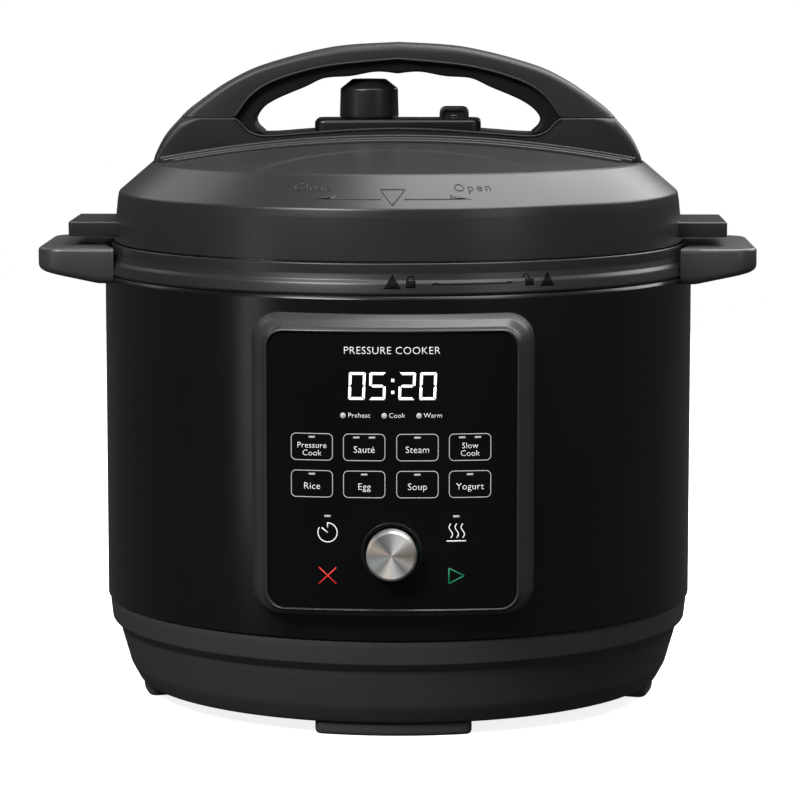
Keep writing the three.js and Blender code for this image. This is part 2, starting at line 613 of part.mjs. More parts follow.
/** A round bar along Y, centred on y = 0. */
function pinBar(radius, x, z, halfLength) {
  const geometry = new THREE.CylinderGeometry(radius, radius, 2 * halfLength, 16);
  geometry.translate(x, 0, z);
  return solid(geometry);
}

function buildFloat() {
  const { x, y, radius, top, head } = FLOAT;
  const pin = bar(radius, 213, top, x, y);
  const foot = bar(head, 211, 213.2, x, y);
  piece("float_valve", join(pin, foot), STEEL);
  const seal = [[head + 0.4, 208.6], [head + 1.6, 208.6], [head + 1.6, 213.3], [head + 0.4, 213.3]];
  piece("float_seal", turned(seal, SMALL_ROUND, x, y), SILICONE);
}

function buildLidScrews() {
  [-1, 1].forEach((sign, i) => {
    const x = SCREWS.lid * sign;
    const head = bar(SCREWS.head, 215, PLATE.under - GAP, x, 0, 12);
    piece(`handle_screw_${i + 1}`, join(head, bar(SCREWS.shank, 216, 259.5, x, 0, 12)), STEEL);
  });
}

buildFeet();
buildBase();
buildShell();
buildCollar();
buildSideHandles();
buildBezel();
buildFascia();
buildElectronics();
buildDial();
buildLiner();
buildInnerPot();
buildHeater();
buildSensor();
buildInlet();
buildCup();
buildLid();
buildFins();
buildHandle();
buildDeck();
buildSteamValve();
buildRelease();
buildFloat();
buildLidScrews();

export default cooker;
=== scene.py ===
import json
from math import cos, hypot, pi, radians, sin, sqrt, tan

import bmesh
import bpy
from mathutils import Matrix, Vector


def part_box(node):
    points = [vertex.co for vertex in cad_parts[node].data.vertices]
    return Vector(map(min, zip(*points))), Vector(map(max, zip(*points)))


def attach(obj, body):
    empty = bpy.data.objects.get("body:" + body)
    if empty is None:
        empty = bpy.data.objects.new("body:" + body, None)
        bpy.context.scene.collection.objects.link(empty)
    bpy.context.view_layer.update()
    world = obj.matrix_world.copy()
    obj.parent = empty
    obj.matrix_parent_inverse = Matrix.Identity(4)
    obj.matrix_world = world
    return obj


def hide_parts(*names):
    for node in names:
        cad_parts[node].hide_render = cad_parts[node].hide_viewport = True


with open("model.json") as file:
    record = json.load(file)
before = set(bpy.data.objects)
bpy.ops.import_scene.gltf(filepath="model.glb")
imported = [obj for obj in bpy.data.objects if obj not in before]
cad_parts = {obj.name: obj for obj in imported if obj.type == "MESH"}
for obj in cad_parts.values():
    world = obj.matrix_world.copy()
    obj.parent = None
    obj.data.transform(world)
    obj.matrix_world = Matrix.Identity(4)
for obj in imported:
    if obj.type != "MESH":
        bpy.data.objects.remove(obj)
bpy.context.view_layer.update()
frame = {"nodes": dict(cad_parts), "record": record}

MM = 0.001

# ---- sizes, in millimetres


def limits(node):
    """Lowest and highest corner of a CAD node, in millimetres."""
    low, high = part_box(node)
    return low / MM, high / MM


SHELL_LOW, SHELL_HIGH = limits("body_shell")
COLLAR_LOW, COLLAR_HIGH = limits("rim_collar")
BASE_LOW, BASE_HIGH = limits("base_housing")
COVER_LOW, COVER_HIGH = limits("lid_cover")
HANDLE_LOW, HANDLE_HIGH = limits("side_handle_right")
FIN_LOW, FIN_HIGH = limits("lid_fin_right")
BEZEL_LOW, BEZEL_HIGH = limits("control_bezel")
FASCIA_LOW, FASCIA_HIGH = limits("control_fascia")
DIAL_LOW, DIAL_HIGH = limits("dial_cap")
DIAL_Z = (DIAL_LOW.z + DIAL_HIGH.z) / 2
KNOB_LOW, KNOB_HIGH = limits("steam_valve_knob")
BUTTON_LOW, BUTTON_HIGH = limits("release_button")
DECK_LOW, DECK_HIGH = limits("valve_deck")
GRIP_HIGH = limits("handle_grip")[1]
LINER_HIGH = limits("grip_liner")[1]
RAIL_HIGH = limits("handle_base")[1]
POT_LOW, POT_HIGH = limits("inner_pot")
CUP_LOW, CUP_HIGH = limits("condensation_cup")
INLET_LOW, INLET_HIGH = limits("power_inlet")
FOOT_LOW, FOOT_HIGH = limits("foot_right")

SHELL_R = SHELL_HIGH.x
COVER_R = COVER_HIGH.x
VENT_X = (KNOB_LOW.x + KNOB_HIGH.x) / 2
PIN_LOW, PIN_HIGH = limits("float_valve")
PIN_X, PIN_Y = (PIN_LOW.x + PIN_HIGH.x) / 2, (PIN_LOW.y + PIN_HIGH.y) / 2
SIDE_RISE = 2.1        # how far the rounded side handles and fins rise above their plain solids
LIP_COVER = 1.4        # how far the panel's soft frame covers the edge of its sheet
DOME_EDGE = 112.3      # where the dome meets the step at the top of the cone
DOME_DROP = 10.9       # height of the dome above that edge
FASCIA_BEND = 240.0    # radius of the fascia's curve, seen from above
SIDES = ("left", -1), ("right", 1)
FINE = 256             # facets round the large turned pieces

# ---- mesh helpers


def shares(count):
    """From 0 to 1 in equal steps."""
    return [k / count for k in range(count + 1)]


def polar(radius, angle, x=0.0, y=0.0):
    return x + radius * cos(angle), y + radius * sin(angle)


def placed(name, data):
    """A new object in the scene."""
    obj = bpy.data.objects.new(name, data)
    bpy.context.scene.collection.objects.link(obj)
    return obj


def piece_from(name, verts, faces):
    """A mesh object from vertices in millimetres, welded and with its faces pointing out."""
    mesh = bpy.data.meshes.new(name)
    mesh.from_pydata([Vector(v) * MM for v in verts], [], faces)
    bm = bmesh.new()
    bm.from_mesh(mesh)
    bmesh.ops.remove_doubles(bm, verts=bm.verts, dist=1e-7)
    bmesh.ops.recalc_face_normals(bm, faces=bm.faces)
    bm.to_mesh(mesh)
    bm.free()
    return placed(name, mesh)


def loft(name, rings, loop=False):
    """Skins closed rings. With loop the last ring joins the first, otherwise the ends are capped."""
    count = len(rings[0])
    verts = [point for ring in rings for point in ring]
    faces = []
    for i in range(len(rings) if loop else len(rings) - 1):
        a, b = i * count, (i + 1) % len(rings) * count
        for k in range(count):
            n = (k + 1) % count
            faces.append((a + k, a + n, b + n, b + k))
    if not loop:
        faces.append(tuple(range(count - 1, -1, -1)))
        faces.append(tuple(range((len(rings) - 1) * count, len(rings) * count)))
    return piece_from(name, verts, faces)


def rounded(points, closed=False, steps=5):
    """A polyline (u, v, corner radius) with its corners turned into curves."""
    path = []
    count = len(points)
    for i, (u, v, radius) in enumerate(points):
        here = Vector((u, v))
        if radius <= 0 or (not closed and i in (0, count - 1)):
            path.append(here)
            continue
        before = Vector(points[i - 1][:2]) - here
        after = Vector(points[(i + 1) % count][:2]) - here
        reach = min(radius / tan(before.angle(after) / 2), before.length * 0.49, after.length * 0.49)
        start = here + before.normalized() * reach
        end = here + after.normalized() * reach
        path += [start * (1 - t) ** 2 + here * 2 * t * (1 - t) + end * t * t for t in shares(steps)]
    return path


def circle(radius, z, steps, x=0.0, y=0.0):
    return [(*polar(radius, 2 * pi * k / steps, x, y), z) for k in range(steps)]


def turned(name, points, steps=FINE, x=0.0):
    """A piece turned about the vertical at x, from a profile of (radius, z, corner radius)."""
    closed = points[0][0] > 0
    path = rounded(points, closed)
    rings = [circle(r, z, steps, x) for r, z in path]
    return loft(name, rings, loop=closed)


def turned_forward(name, points, z, steps=96):
    """A piece turned about a front-to-back axis at height z, from (radius, forward, corner radius)."""
    closed = points[0][0] > 0
    rings = []
    for r, forward in rounded(points, closed):
        rings.append([(u, -forward, z + v) for u, v, _ in circle(r, 0, steps)])
    return loft(name, rings, loop=closed)


def rounded_rect(low, high, corner, arc=10, straight=1):
    """Points round a rounded rectangle, counter-clockwise, with extra points on its straight sides."""
    (x0, y0), (x1, y1) = low, high
    left, right, near, far = x0 + corner, x1 - corner, y0 + corner, y1 - corner
    corners = []
    for i, centre in enumerate([(right, near), (right, far), (left, far), (left, near)]):
        corners.append([Vector(polar(corner, pi / 2 * (i - 1 + t), *centre)) for t in shares(arc)])
    points = []
    for i, curve in enumerate(corners):
        points += curve
        following = corners[(i + 1) % 4][0]
        points += [curve[-1].lerp(following, k / straight) for k in range(1, straight)]
    return points


def inset(outline, amount):
    """Moves each point of a closed outline inwards, along the bisector of its corner."""
    area = sum(a.x * b.y - b.x * a.y for a, b in zip(outline, outline[1:] + outline[:1]))
    side = 1 if area > 0 else -1
    moved = []
    for i, here in enumerate(outline):
        before = (here - outline[i - 1]).normalized()
        after = (outline[(i + 1) % len(outline)] - here).normalized()
        normal = Vector((-before.y - after.y, before.x + after.x)).normalized() * side
        stretch = max(normal.dot(Vector((-before.y, before.x)) * side), 0.5)
        moved.append(here + normal * amount / stretch)
    return moved


def level_ring(outline, amount, z):
    return [(p.x, p.y, z) for p in inset(outline, amount)]


def upright_ring(outline, amount, y):
    """The outline's own second coordinate is height."""
    return [(p.x, y, p.y) for p in inset(outline, amount)]


def along(points, count):
    """A smooth curve through the points, in equal steps."""
    knots = [Vector(p) for p in points]
    fine = []
    for share in shares(400):
        s = (len(knots) - 1) * share
        k = min(int(s), len(knots) - 2)
        t = s - k
        p0, p1, p2, p3 = knots[max(k - 1, 0)], knots[k], knots[k + 1], knots[min(k + 2, len(knots) - 1)]
        fine.append(0.5 * (2 * p1 + (p2 - p0) * t + (2 * p0 - 5 * p1 + 4 * p2 - p3) * t * t
                           + (3 * p1 - p0 - 3 * p2 + p3) * t ** 3))
    reach = [0.0]
    for a, b in zip(fine, fine[1:]):
        reach.append(reach[-1] + (b - a).length)
    walk, i = [], 0
    for k in range(count + 1):
        goal = reach[-1] * k / count
        while i < len(fine) - 2 and reach[i + 1] < goal:
            i += 1
        step = reach[i + 1] - reach[i]
        walk.append(fine[i].lerp(fine[i + 1], (goal - reach[i]) / step if step else 0))
    return walk


def band(name, outer, inner, half_depth, outer_round, inner_round):
    """A symmetric arch in X and Z between two curves that run from its middle to its right end."""
    right = list(zip(outer, inner, outer_round))
    left = [(Vector((-o.x, o.y)), Vector((-i.x, i.y)), corner) for o, i, corner in right[1:]]
    rings = []
    for out, inn, corner in [*reversed(left), *right]:
        rise = (out - inn).length
        section = rounded([(-half_depth, 0, inner_round), (half_depth, 0, inner_round),
                           (half_depth, rise, corner), (-half_depth, rise, corner)], True, 6)
        up = (out - inn) / rise
        rings.append([(inn.x + up.x * v, u, inn.y + up.y * v) for u, v in section])
    return loft(name, rings)


def tube(name, path, radius, steps=10):
    """A round bead along a path of points."""
    rings = []
    for i, here in enumerate(path):
        heading = (path[min(i + 1, len(path) - 1)] - path[max(i - 1, 0)]).normalized()
        side = heading.cross(Vector((0, 1, 0))).normalized()
        rise = side.cross(heading)
        rings.append([here + side * u + rise * v for u, v, _ in circle(radius, 0, steps)])
    return loft(name, rings)


def join(*pieces):
    """One object from several, with the name of the first."""
    name = pieces[0].name
    bm = bmesh.new()
    for obj in pieces:
        bm.from_mesh(obj.data)
        bpy.data.objects.remove(obj)
    mesh = bpy.data.meshes.new(name)
    bm.to_mesh(mesh)
    bm.free()
    return placed(name, mesh)


def both_ways(curve, y):
    """A curve from the middle to the right, with its mirror image, at a depth."""
    right = [Vector((p.x, y, p.y)) for p in curve]
    left = [Vector((-p.x, y, p.y)) for p in curve[1:]]
    return [*reversed(left), *right]


def raised(curve, rise):
    return [Vector((p.x, p.y + rise)) for p in curve]


def stacked(name, outline, levels):
    """A stack of one outline: levels are (z, how far the outline moves inwards)."""
    return loft(name, [level_ring(outline, amount, z) for z, amount in levels])


def edge_levels(low, high, radius, steps=4):
    """Levels for stacked() with both edges rounded."""
    turn = [pi / 2 * t for t in shares(steps)]
    curve = [(radius * (1 - sin(a)), radius * (1 - cos(a))) for a in turn]
    return [(low + z, amount) for z, amount in reversed(curve)] + [(high - z, amount) for z, amount in curve]


def carve(obj, *cutters):
    """Cuts plain solids out of a piece and removes them."""
    for cutter in cutters:
        cut = obj.modifiers.new("cut", "BOOLEAN")
        cut.operation, cut.solver, cut.object = "DIFFERENCE", "EXACT", cutter
    bpy.context.view_layer.update()
    graph = bpy.context.evaluated_depsgraph_get()
    mesh = bpy.data.meshes.new_from_object(obj.evaluated_get(graph))
    obj.modifiers.clear()
    obj.data = mesh
    for cutter in cutters:
        bpy.data.objects.remove(cutter)
    return obj


def cut_box(low, high):
    return stacked("cutter", rounded_rect(low[:2], high[:2], 0.2, 1), [(low[2], 0), (high[2], 0)])


def cut_bar(radius, low, high, x, y=0.0):
    return loft("cutter", [circle(radius, low, 48, x, y), circle(radius, high, 48, x, y)])


def lid_holes(vent, pin, low, high):
    """Bars that cut the steam vent and the float pin's hole, from their radii."""
    return cut_bar(vent, low, high, VENT_X), cut_bar(pin, low, high, PIN_X, PIN_Y)


def finish(obj, body, slot, *nodes, material=None, angle=34):
    """Smooth shading, the look of its slot (or the material given), its body, and hides the CAD nodes that
    the piece stands for.
    """
    obj.data.materials.clear()
    obj.data.materials.append(material or LOOKS[slot])
    obj.data.polygons.foreach_set("use_smooth", [True] * len(obj.data.polygons))
    obj.data.set_sharp_from_angle(angle=radians(angle))
    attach(obj, body)
    if nodes:
        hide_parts(*nodes)


# ---- materials


def feed(node, **inputs):
    """Sets a node's inputs by name. The output of another node is linked."""
    for key, value in inputs.items():
        socket = node.inputs[key.replace("_", " ")]
        if isinstance(value, bpy.types.NodeSocket):
            node.id_data.links.new(value, socket)
        else:
            socket.default_value = value


class Shader:
    """A Principled material with helpers for the procedural detail."""

    def __init__(self, name, color, roughness, metallic=0.0, **constants):
        self.material = bpy.data.materials.new(name)
        self.material.use_nodes = True
        self.tree = self.material.node_tree
        self.surface = self.tree.nodes["Principled BSDF"]
        self.color, self.roughness = color, roughness
        feed(self.surface, Base_Color=(*color, 1), Roughness=roughness, Metallic=metallic, **constants)
        self.place = self.node("ShaderNodeTexCoord").outputs["Object"]

    def node(self, kind, settings=(), **inputs):
        """A node with its settings, as (name, value) pairs, and its inputs."""
        made = self.tree.nodes.new(kind)
        for key, value in settings:
            setattr(made, key, value)
        feed(made, **inputs)
        return made

    def stretched(self, scale, **inputs):
        return self.node("ShaderNodeMapping", Scale=scale, Vector=self.place, **inputs).outputs["Vector"]

    def noise(self, scale, detail=2.0, vector=None):
        vector = vector or self.place
        return self.node("ShaderNodeTexNoise", Scale=scale, Detail=detail, Vector=vector).outputs["Fac"]

    def span(self, value, low, high):
        """The middle of a noise's range, spread between two values."""
        ends = {"From_Min": 0.3, "From_Max": 0.7, "To_Min": low, "To_Max": high}
        return self.node("ShaderNodeMapRange", Value=value, **ends).outputs["Result"]

    def vary_color(self, amount, *noise):
        """Lighter and darker patches of the same colour."""
        share = self.span(self.noise(*noise), 0, 1)
        dark, light = [(*[min(c * tone, 1) for c in self.color], 1) for tone in (1 - amount, 1 + amount)]
        mix = self.node("ShaderNodeMix", [("data_type", "RGBA")], A=dark, B=light, Factor=share)
        feed(self.surface, Base_Color=mix.outputs["Result"])

    def vary_roughness(self, amount, *noise):
        low, high = max(self.roughness - amount, 0.02), min(self.roughness + amount, 1)
        feed(self.surface, Roughness=self.span(self.noise(*noise), low, high))

    def bump(self, height_mm, strength, *noise):
        height = self.noise(*noise)
        made = self.node("ShaderNodeBump", Distance=height_mm * MM, Strength=strength, Height=height)
        feed(self.surface, Normal=made.outputs["Normal"])

    def glow(self, color, strength):
        feed(self.surface, Emission_Color=(*color, 1), Emission_Strength=strength)


def moulded(name, color, roughness, grain=0.02, grain_scale=1400, wear=0.04, **constants):
    """Moulded plastic or rubber: fine spark-eroded grain, faint handling marks and slow colour drift."""
    shader = Shader(name, color, roughness, **constants)
    shader.vary_color(0.07, 22, 2)
    shader.vary_roughness(wear, 40, 2)
    shader.bump(grain, 0.6, grain_scale, 3)
    return shader.material


def enamel(name, color, roughness, **constants):
    """Sprayed gloss enamel: faint orange peel and thin wipe marks in the gloss."""
    shader = Shader(name, color, roughness, **constants)
    shader.vary_color(0.12, 14, 3)
    shader.vary_roughness(0.04, 40, 6, shader.stretched((1, 1, 0.25)))
    shader.bump(0.004, 0.5, 260, 2)
    return shader.material


def brushed(name, color, roughness, stretch, **constants):
    """Metal with fine parallel brush lines across the stretched axis."""
    shader = Shader(name, color, roughness, 0.8, **constants)
    lines = 1400, 3, shader.stretched(stretch)
    shader.vary_color(0.06, *lines)
    shader.vary_roughness(0.04, *lines)
    shader.bump(0.002, 0.4, *lines)
    return shader.material


def glossy_sheet(name, color, roughness, **constants):
    """Clear-coated plastic sheet: almost flawless, with faint smudges in its gloss."""
    shader = Shader(name, color, roughness, **constants)
    shader.vary_color(0.15, 20, 2)
    shader.vary_roughness(0.03, 55, 5)
    shader.bump(0.002, 0.4, 180, 2)
    return shader.material


def printed(name, color, glow=0.0, **constants):
    """Screen print, or a lit window where it glows. A glow on plain print is painted light, and a near-black
    mark can be painted shade.
    """
    shader = Shader(name, color, 0.5, **constants)
    shader.vary_color(0.06, 900, 2)
    shader.vary_roughness(0.08, 300, 2)
    shader.glow(color, glow)
    return shader.material


def spun_aluminium(name):
    """Spun face: the fan of bright and dark sectors that brush lines round the centre gather from the light
    is painted into the base colour, as painted highlights with warm and cool painted reflection tints.
    """
    shader = Shader(name, (0.62, 0.6, 0.58), 0.34, 0.25)
    tilt, shift = (pi / 2, 0, 0), (0, DIAL_Z * MM, 0)
    front = shader.stretched((1, 1, 1), Rotation=tilt, Location=shift)
    fan = shader.node("ShaderNodeTexGradient", [("gradient_type", "RADIAL")], Vector=front)
    ramp = shader.node("ShaderNodeValToRGB", Fac=fan.outputs["Fac"])
    # place round the face, painted highlight brightness and painted reflection tint of each sector
    painted_highlight_sectors = [
        (0.0, 0.34, 1), (0.07, 0.6, 2), (0.15, 0.2, -1), (0.22, 0.34, 0), (0.3, 0.84, 0), (0.36, 1.0, 0),
        (0.42, 0.42, 1), (0.5, 0.22, 2), (0.58, 0.56, 1), (0.64, 0.24, -1), (0.72, 0.8, 0), (0.79, 0.98, 1),
        (0.86, 0.34, 0), (0.93, 0.5, -1), (1.0, 0.34, 1),
    ]
    for i, (place, tone, reflection_tint) in enumerate(painted_highlight_sectors):
        stop = ramp.color_ramp.elements[i] if i < 2 else ramp.color_ramp.elements.new(place)
        stop.position = place
        red, green, blue = 1 + 0.04 * reflection_tint, 1 - 0.04 * reflection_tint, 0.97 - 0.09 * reflection_tint
        stop.color = (tone * red, tone * green, tone * blue, 1)
    feed(shader.surface, Base_Color=ramp.outputs["Color"])
    flat = shader.node("ShaderNodeVectorMath", [("operation", "MULTIPLY")], Vector=front)
    flat.inputs[1].default_value = (1, 1, 0)
    distance = shader.node("ShaderNodeVectorMath", [("operation", "LENGTH")], Vector=flat.outputs["Vector"])
    shader.vary_roughness(0.08, 9000, 2, distance.outputs["Value"])
    return shader.material


def smoked_clear(name):
    """Clear moulded plastic with a faint smoky tint."""
    shader = Shader(name, (0.5, 0.51, 0.53), 0.07, Transmission_Weight=1.0, IOR=1.49)
    shader.vary_color(0.05, 30, 2)
    shader.vary_roughness(0.03, 120, 3)
    return shader.material


LOOKS = {
    "shell_gloss": enamel(
        "shell_enamel", (0.005, 0.005, 0.0055), 0.24, Coat_Weight=0.1, Coat_Roughness=0.12),
    "base_matte": moulded("base_plastic", (0.05, 0.051, 0.054), 0.6, 0.03, Specular_IOR_Level=0.35),
    "lid_plastic": moulded(
        "lid_plastic", (0.021, 0.0215, 0.0225), 0.33, 0.001, 1400, 0.014, Specular_IOR_Level=0.55),
    "grip_plastic": moulded("grip_plastic", (0.019, 0.0195, 0.0205), 0.46, 0.007, Specular_IOR_Level=0.45),
    "dark_plastic": moulded("dark_plastic", (0.004, 0.004, 0.004), 0.5, 0.02, Specular_IOR_Level=0.3),
    "bezel_plastic": moulded(
        "bezel_plastic", (0.036, 0.0365, 0.038), 0.34, 0.001, 1400, 0.02, Specular_IOR_Level=0.75),
    "panel_gloss": glossy_sheet("panel_gloss", (0.0045, 0.0045, 0.005), 0.12, Specular_IOR_Level=0.3),
    "foot_rubber": moulded("foot_rubber", (0.05, 0.05, 0.053), 0.75, 0.05, 800),
    "silicone": moulded(
        "silicone", (0.72, 0.71, 0.68), 0.5, 0.01, 500, Subsurface_Weight=0.15, Subsurface_Scale=0.004),
    "steel": brushed("brushed_steel", (0.56, 0.56, 0.57), 0.26, (0.06, 0.06, 1)),
    "aluminium": brushed("aluminium", (0.68, 0.68, 0.69), 0.36, (1, 1, 0.08)),
    "circuit": moulded("solder_mask", (0.02, 0.11, 0.05), 0.4, 0.02, 600),
    "clear_plastic": smoked_clear("clear_cup"),
    "brass": brushed("brass", (0.66, 0.48, 0.2), 0.32, (1, 1, 0.1)),
}
# Painted light: a lighter copy of the grip plastic, so the side handles read as brightly lit from above.
SIDE_LIT_PLASTIC = moulded(
    "side_painted_light", (0.046, 0.0465, 0.048), 0.36, 0.004, 900, 0.03, Specular_IOR_Level=0.7)
KNOB_GLOSS = enamel("knob_gloss", (0.012, 0.012, 0.013), 0.33, Coat_Weight=0.15, Coat_Roughness=0.2)
# Painted shade: a darker copy of the grip plastic for the handle's lower half, standing in for the light
# falling off there.
RAIL_SHADED_PLASTIC = moulded("rail_painted_shade", (0.009, 0.009, 0.0095), 0.46, 0.007, Specular_IOR_Level=0.45)
DECK_PLASTIC = moulded("deck_plastic", (0.004, 0.004, 0.0045), 0.34, 0.006, 900, Specular_IOR_Level=0.5)
DIAL_FACE = spun_aluminium("dial_aluminium_painted_highlights")
# Painted shade: near-black marks standing in for the shade inside the collar's pressed-in lock icons.
MARK_SHADE = printed("mark_painted_shade", (0.002, 0.002, 0.002), Specular_IOR_Level=0.08)


# ---- housing


def build_base():
    top, ring = BASE_HIGH.z, BASE_HIGH.x
    floor = BASE_LOW.z
    bowl = turned("base_bowl", [
        (0, floor, 0), (ring - 13.8, floor, 3), (ring - 9.4, floor + 8, 14), (ring - 5.2, floor + 22.5, 14),
        (ring - 4.6, floor + 25.2, 0.6), (ring - 0.9, floor + 29.2, 1.2), (ring, floor + 37, 5),
        (ring, top - 0.5, 0.4), (ring - 0.5, top, 0), (ring - 3, top, 0.3), (ring - 3.8, 38, 4),
        (ring - 7.8, 31, 4), (ring - 12.4, 14, 6), (ring - 15.4, floor + 3, 2), (0, floor + 3, 0),
    ])
    gap = 0.4          # round the power inlet
    low = INLET_LOW.x - gap, INLET_LOW.y, INLET_LOW.z - gap
    mouth = cut_box(low, (INLET_HIGH.x + gap, ring + 5, INLET_HIGH.z + gap))
    finish(carve(bowl, mouth), "housing", "base_matte", "base_housing")


def build_feet():
    """Four soft feet: parts of a ring with rounded corners, tucked under the bowl."""
    inner, outer = FOOT_LOW.x + 4, FOOT_HIGH.x
    reach = 36.5
    shape = rounded_rect((inner, -reach), (outer, reach), 4, 6, 12)
    levels = [(0, 1.4), (0.4, 0.6), (1.1, 0.15), (2, 0), (FOOT_HIGH.z, 0)]
    for side, turn in (("right", 0.0), ("back", 90.0), ("left", 180.0), ("front", 270.0)):
        outline = [Vector(polar(p.x, p.y / outer + radians(turn))) for p in shape]
        foot = stacked(f"foot_pad_{side}", outline, levels)
        finish(foot, "housing", "foot_rubber", f"foot_{side}")


def build_shell():
    low, high = SHELL_LOW.z, SHELL_HIGH.z
    barrel = turned("shell_barrel", [
        (SHELL_R - 1.2, low, 0.2), (SHELL_R - 0.2, low, 0.2), (SHELL_R, low + 0.5, 0.2),
        (SHELL_R, high - 1.5, 1.0), (SHELL_R - 0.9, high, 0.5), (SHELL_R - 2.3, high - 0.5, 0.2),
        (SHELL_R - 1.2, high - 3, 0.5),
    ])
    window = cut_box((-49, -150, 68), (49, -100, 176))      # behind the control panel
    finish(carve(barrel, window), "housing", "shell_gloss", "body_shell")


def collar_profile():
    low, high, flare = COLLAR_LOW.z, COLLAR_HIGH.z, COLLAR_HIGH.x
    throat = 119.2
    return [
        (throat, low, 0.3), (flare - 1.5, low, 0.3), (flare - 1.5, SHELL_HIGH.z + 0.25, 0.1),
        (flare - 0.5, SHELL_HIGH.z + 0.25, 0.3), (flare, SHELL_HIGH.z + 1.2, 0.5), (flare - 0.9, 203.3, 3),
        (flare - 2.0, 204.9, 1.5), (flare - 2.6, 207.5, 3), (flare - 2.7, high - 0.4, 0.8),
        (flare - 3.0, high, 0.2), (131.2, high, 0.4), (131.2, low + 2, 0.5), (throat, low + 2, 0.3),
    ]


def build_collar():
    finish(turned("collar_ring", collar_profile()), "housing", "lid_plastic", "rim_collar")


def build_side_handles():
    top, tip, half = HANDLE_HIGH.z + SIDE_RISE, HANDLE_HIGH.x, HANDLE_HIGH.y
    root_under, tip_under = HANDLE_LOW.z, HANDLE_LOW.z + 5.9
    # share of the height, and how far the outline moves inwards there
    levels = [
        (0.0, 2.2), (0.06, 0.9), (0.15, 0.2), (0.25, 0), (0.86, 0), (0.93, 0.25), (0.975, 0.7), (1.0, 1.6),
    ]
    outline = rounded_rect((112, -half), (tip, half), 12, 10, 16)
    for side, sign in SIDES:
        rings = []
        for share, amount in levels:
            ring = []
            for p in inset(outline, amount):
                wall = sqrt(SHELL_R ** 2 - p.y ** 2) - 0.4
                x = max(p.x, wall)
                lean = min(max((x - SHELL_R) / (tip - SHELL_R), 0), 1)
                under = root_under + (tip_under - root_under) * lean
                ring.append((x * sign, p.y, under + (top - under) * share))
            rings.append(ring)
        handle = loft(f"side_grip_{side}", rings)
        # the side handles take the lighter, painted-light copy of the grip plastic
        finish(handle, "housing", "grip_plastic", f"side_handle_{side}", material=SIDE_LIT_PLASTIC)


def build_fins():
    half = FIN_HIGH.y
    for side, sign in SIDES:
        outline = rounded_rect((118, -half), (FIN_HIGH.x, half), 1.8, 8, 16)
        rings = []
        for z, amount in edge_levels(FIN_LOW.z + SIDE_RISE, FIN_HIGH.z, 0.9):
            wall = COVER_R - (z - COVER_LOW.z) * 0.1 - 0.3
            ring = inset(outline, amount)
            rings.append([(max(p.x, sqrt(wall ** 2 - p.y ** 2)) * sign, p.y, z) for p in ring])
        finish(loft(f"lid_tab_{side}", rings), "lid", "lid_plastic", f"lid_fin_{side}")


# ---- control panel


def fascia_y(x):
    return FASCIA_LOW.y + FASCIA_BEND - sqrt(FASCIA_BEND ** 2 - x * x)


def shell_y(x):
    return -sqrt(SHELL_R ** 2 - x * x)


def build_bezel():
    """A soft frame that rises from the barrel to the fascia."""
    outer = rounded_rect(BEZEL_LOW.xz, BEZEL_HIGH.xz, 12, 14, 30)
    gap = 0.25 - LIP_COVER
    edge = (FASCIA_LOW.x - gap, FASCIA_LOW.z - gap), (FASCIA_HIGH.x + gap, FASCIA_HIGH.z + 0.25)
    inner = rounded_rect(*edge, 7, 14, 30)
    # share of the way inwards, share of the rise, corner
    section = rounded([
        (0, -0.05, 0), (0, 0.16, 0.1), (0.3, 0.5, 0.3), (0.68, 0.72, 0.2), (0.8, 0.97, 0.08),
        (0.88, 1.0, 0.03), (1.0, 0.91, 0.02), (1.0, 0.45, 0),
    ], steps=6)
    rings = []
    for inwards, rise in section:
        ring = []
        for a, b in zip(outer, inner):
            p = a.lerp(b, inwards)
            low, high = shell_y(p.x) + 0.4, fascia_y(p.x) - 0.5
            ring.append((p.x, low + (high - low) * rise, p.y))
        rings.append(ring)
    finish(loft("bezel_frame", rings, loop=True), "housing", "bezel_plastic", "control_bezel", angle=50)


def build_fascia():
    """A curved sheet with a round well for the dial."""
    half, low, high = FASCIA_HIGH.x - LIP_COVER, FASCIA_LOW.z + LIP_COVER, FASCIA_HIGH.z
    corner, thick = 6.7, 3.0
    arc = [pi / 2 * t for t in shares(12)]
    right = [(half - corner + corner * sin(a), corner * (1 - cos(a))) for a in arc]
    middle = [(x, 0.0) for x in range(-46, 47, 2)]
    columns = [(-x, drop) for x, drop in reversed(right)] + middle + right
    rings = []
    for x, drop in columns:
        y, top, bottom = fascia_y(x), high - drop, low + drop
        rings.append([(x, y, top), (x, y, bottom), (x, y + thick, bottom), (x, y + thick, top)])
    sheet = loft("fascia_sheet", rings)
    well = [(0, 130, 0), (13.6, 130, 0), (13.6, 160, 0), (0, 160, 0)]
    sheet = carve(sheet, turned_forward("cutter", well, DIAL_Z))
    finish(sheet, "housing", "panel_gloss", "control_fascia", angle=20)


def build_dial():
    z = DIAL_Z
    ring = turned_forward("dial_ring", [
        (11.5, 143, 0.1), (11.5, 144.6, 0.3), (12.2, 145.5, 0.4), (13.2, 146.0, 0.3), (13.5, 145.4, 0.2),
        (13.5, 143, 0.1),
    ], z)
    finish(ring, "housing", "dark_plastic", "dial_surround", material=KNOB_GLOSS)
    back, front, radius = -DIAL_HIGH.y, -DIAL_LOW.y, DIAL_HIGH.x
    cap = turned_forward("dial_knob", [
        (0, back, 0), (radius - 1.2, back, 0.3), (radius - 0.1, back + 0.8, 0.5),
        (radius, front - 1.1, 0.15), (radius - 1.0, front - 0.1, 0.15), (radius - 1.5, front - 0.12, 0.1),
        (0, front - 0.2, 0),
    ], z, 160)
    finish(cap, "dial", "aluminium", "dial_cap", material=DIAL_FACE, angle=24)


# ---- panel print


def around(x, z, width, height):
    """The low and high corners of a box about a point."""
    return (x - width / 2, z - height / 2), (x + width / 2, z + height / 2)


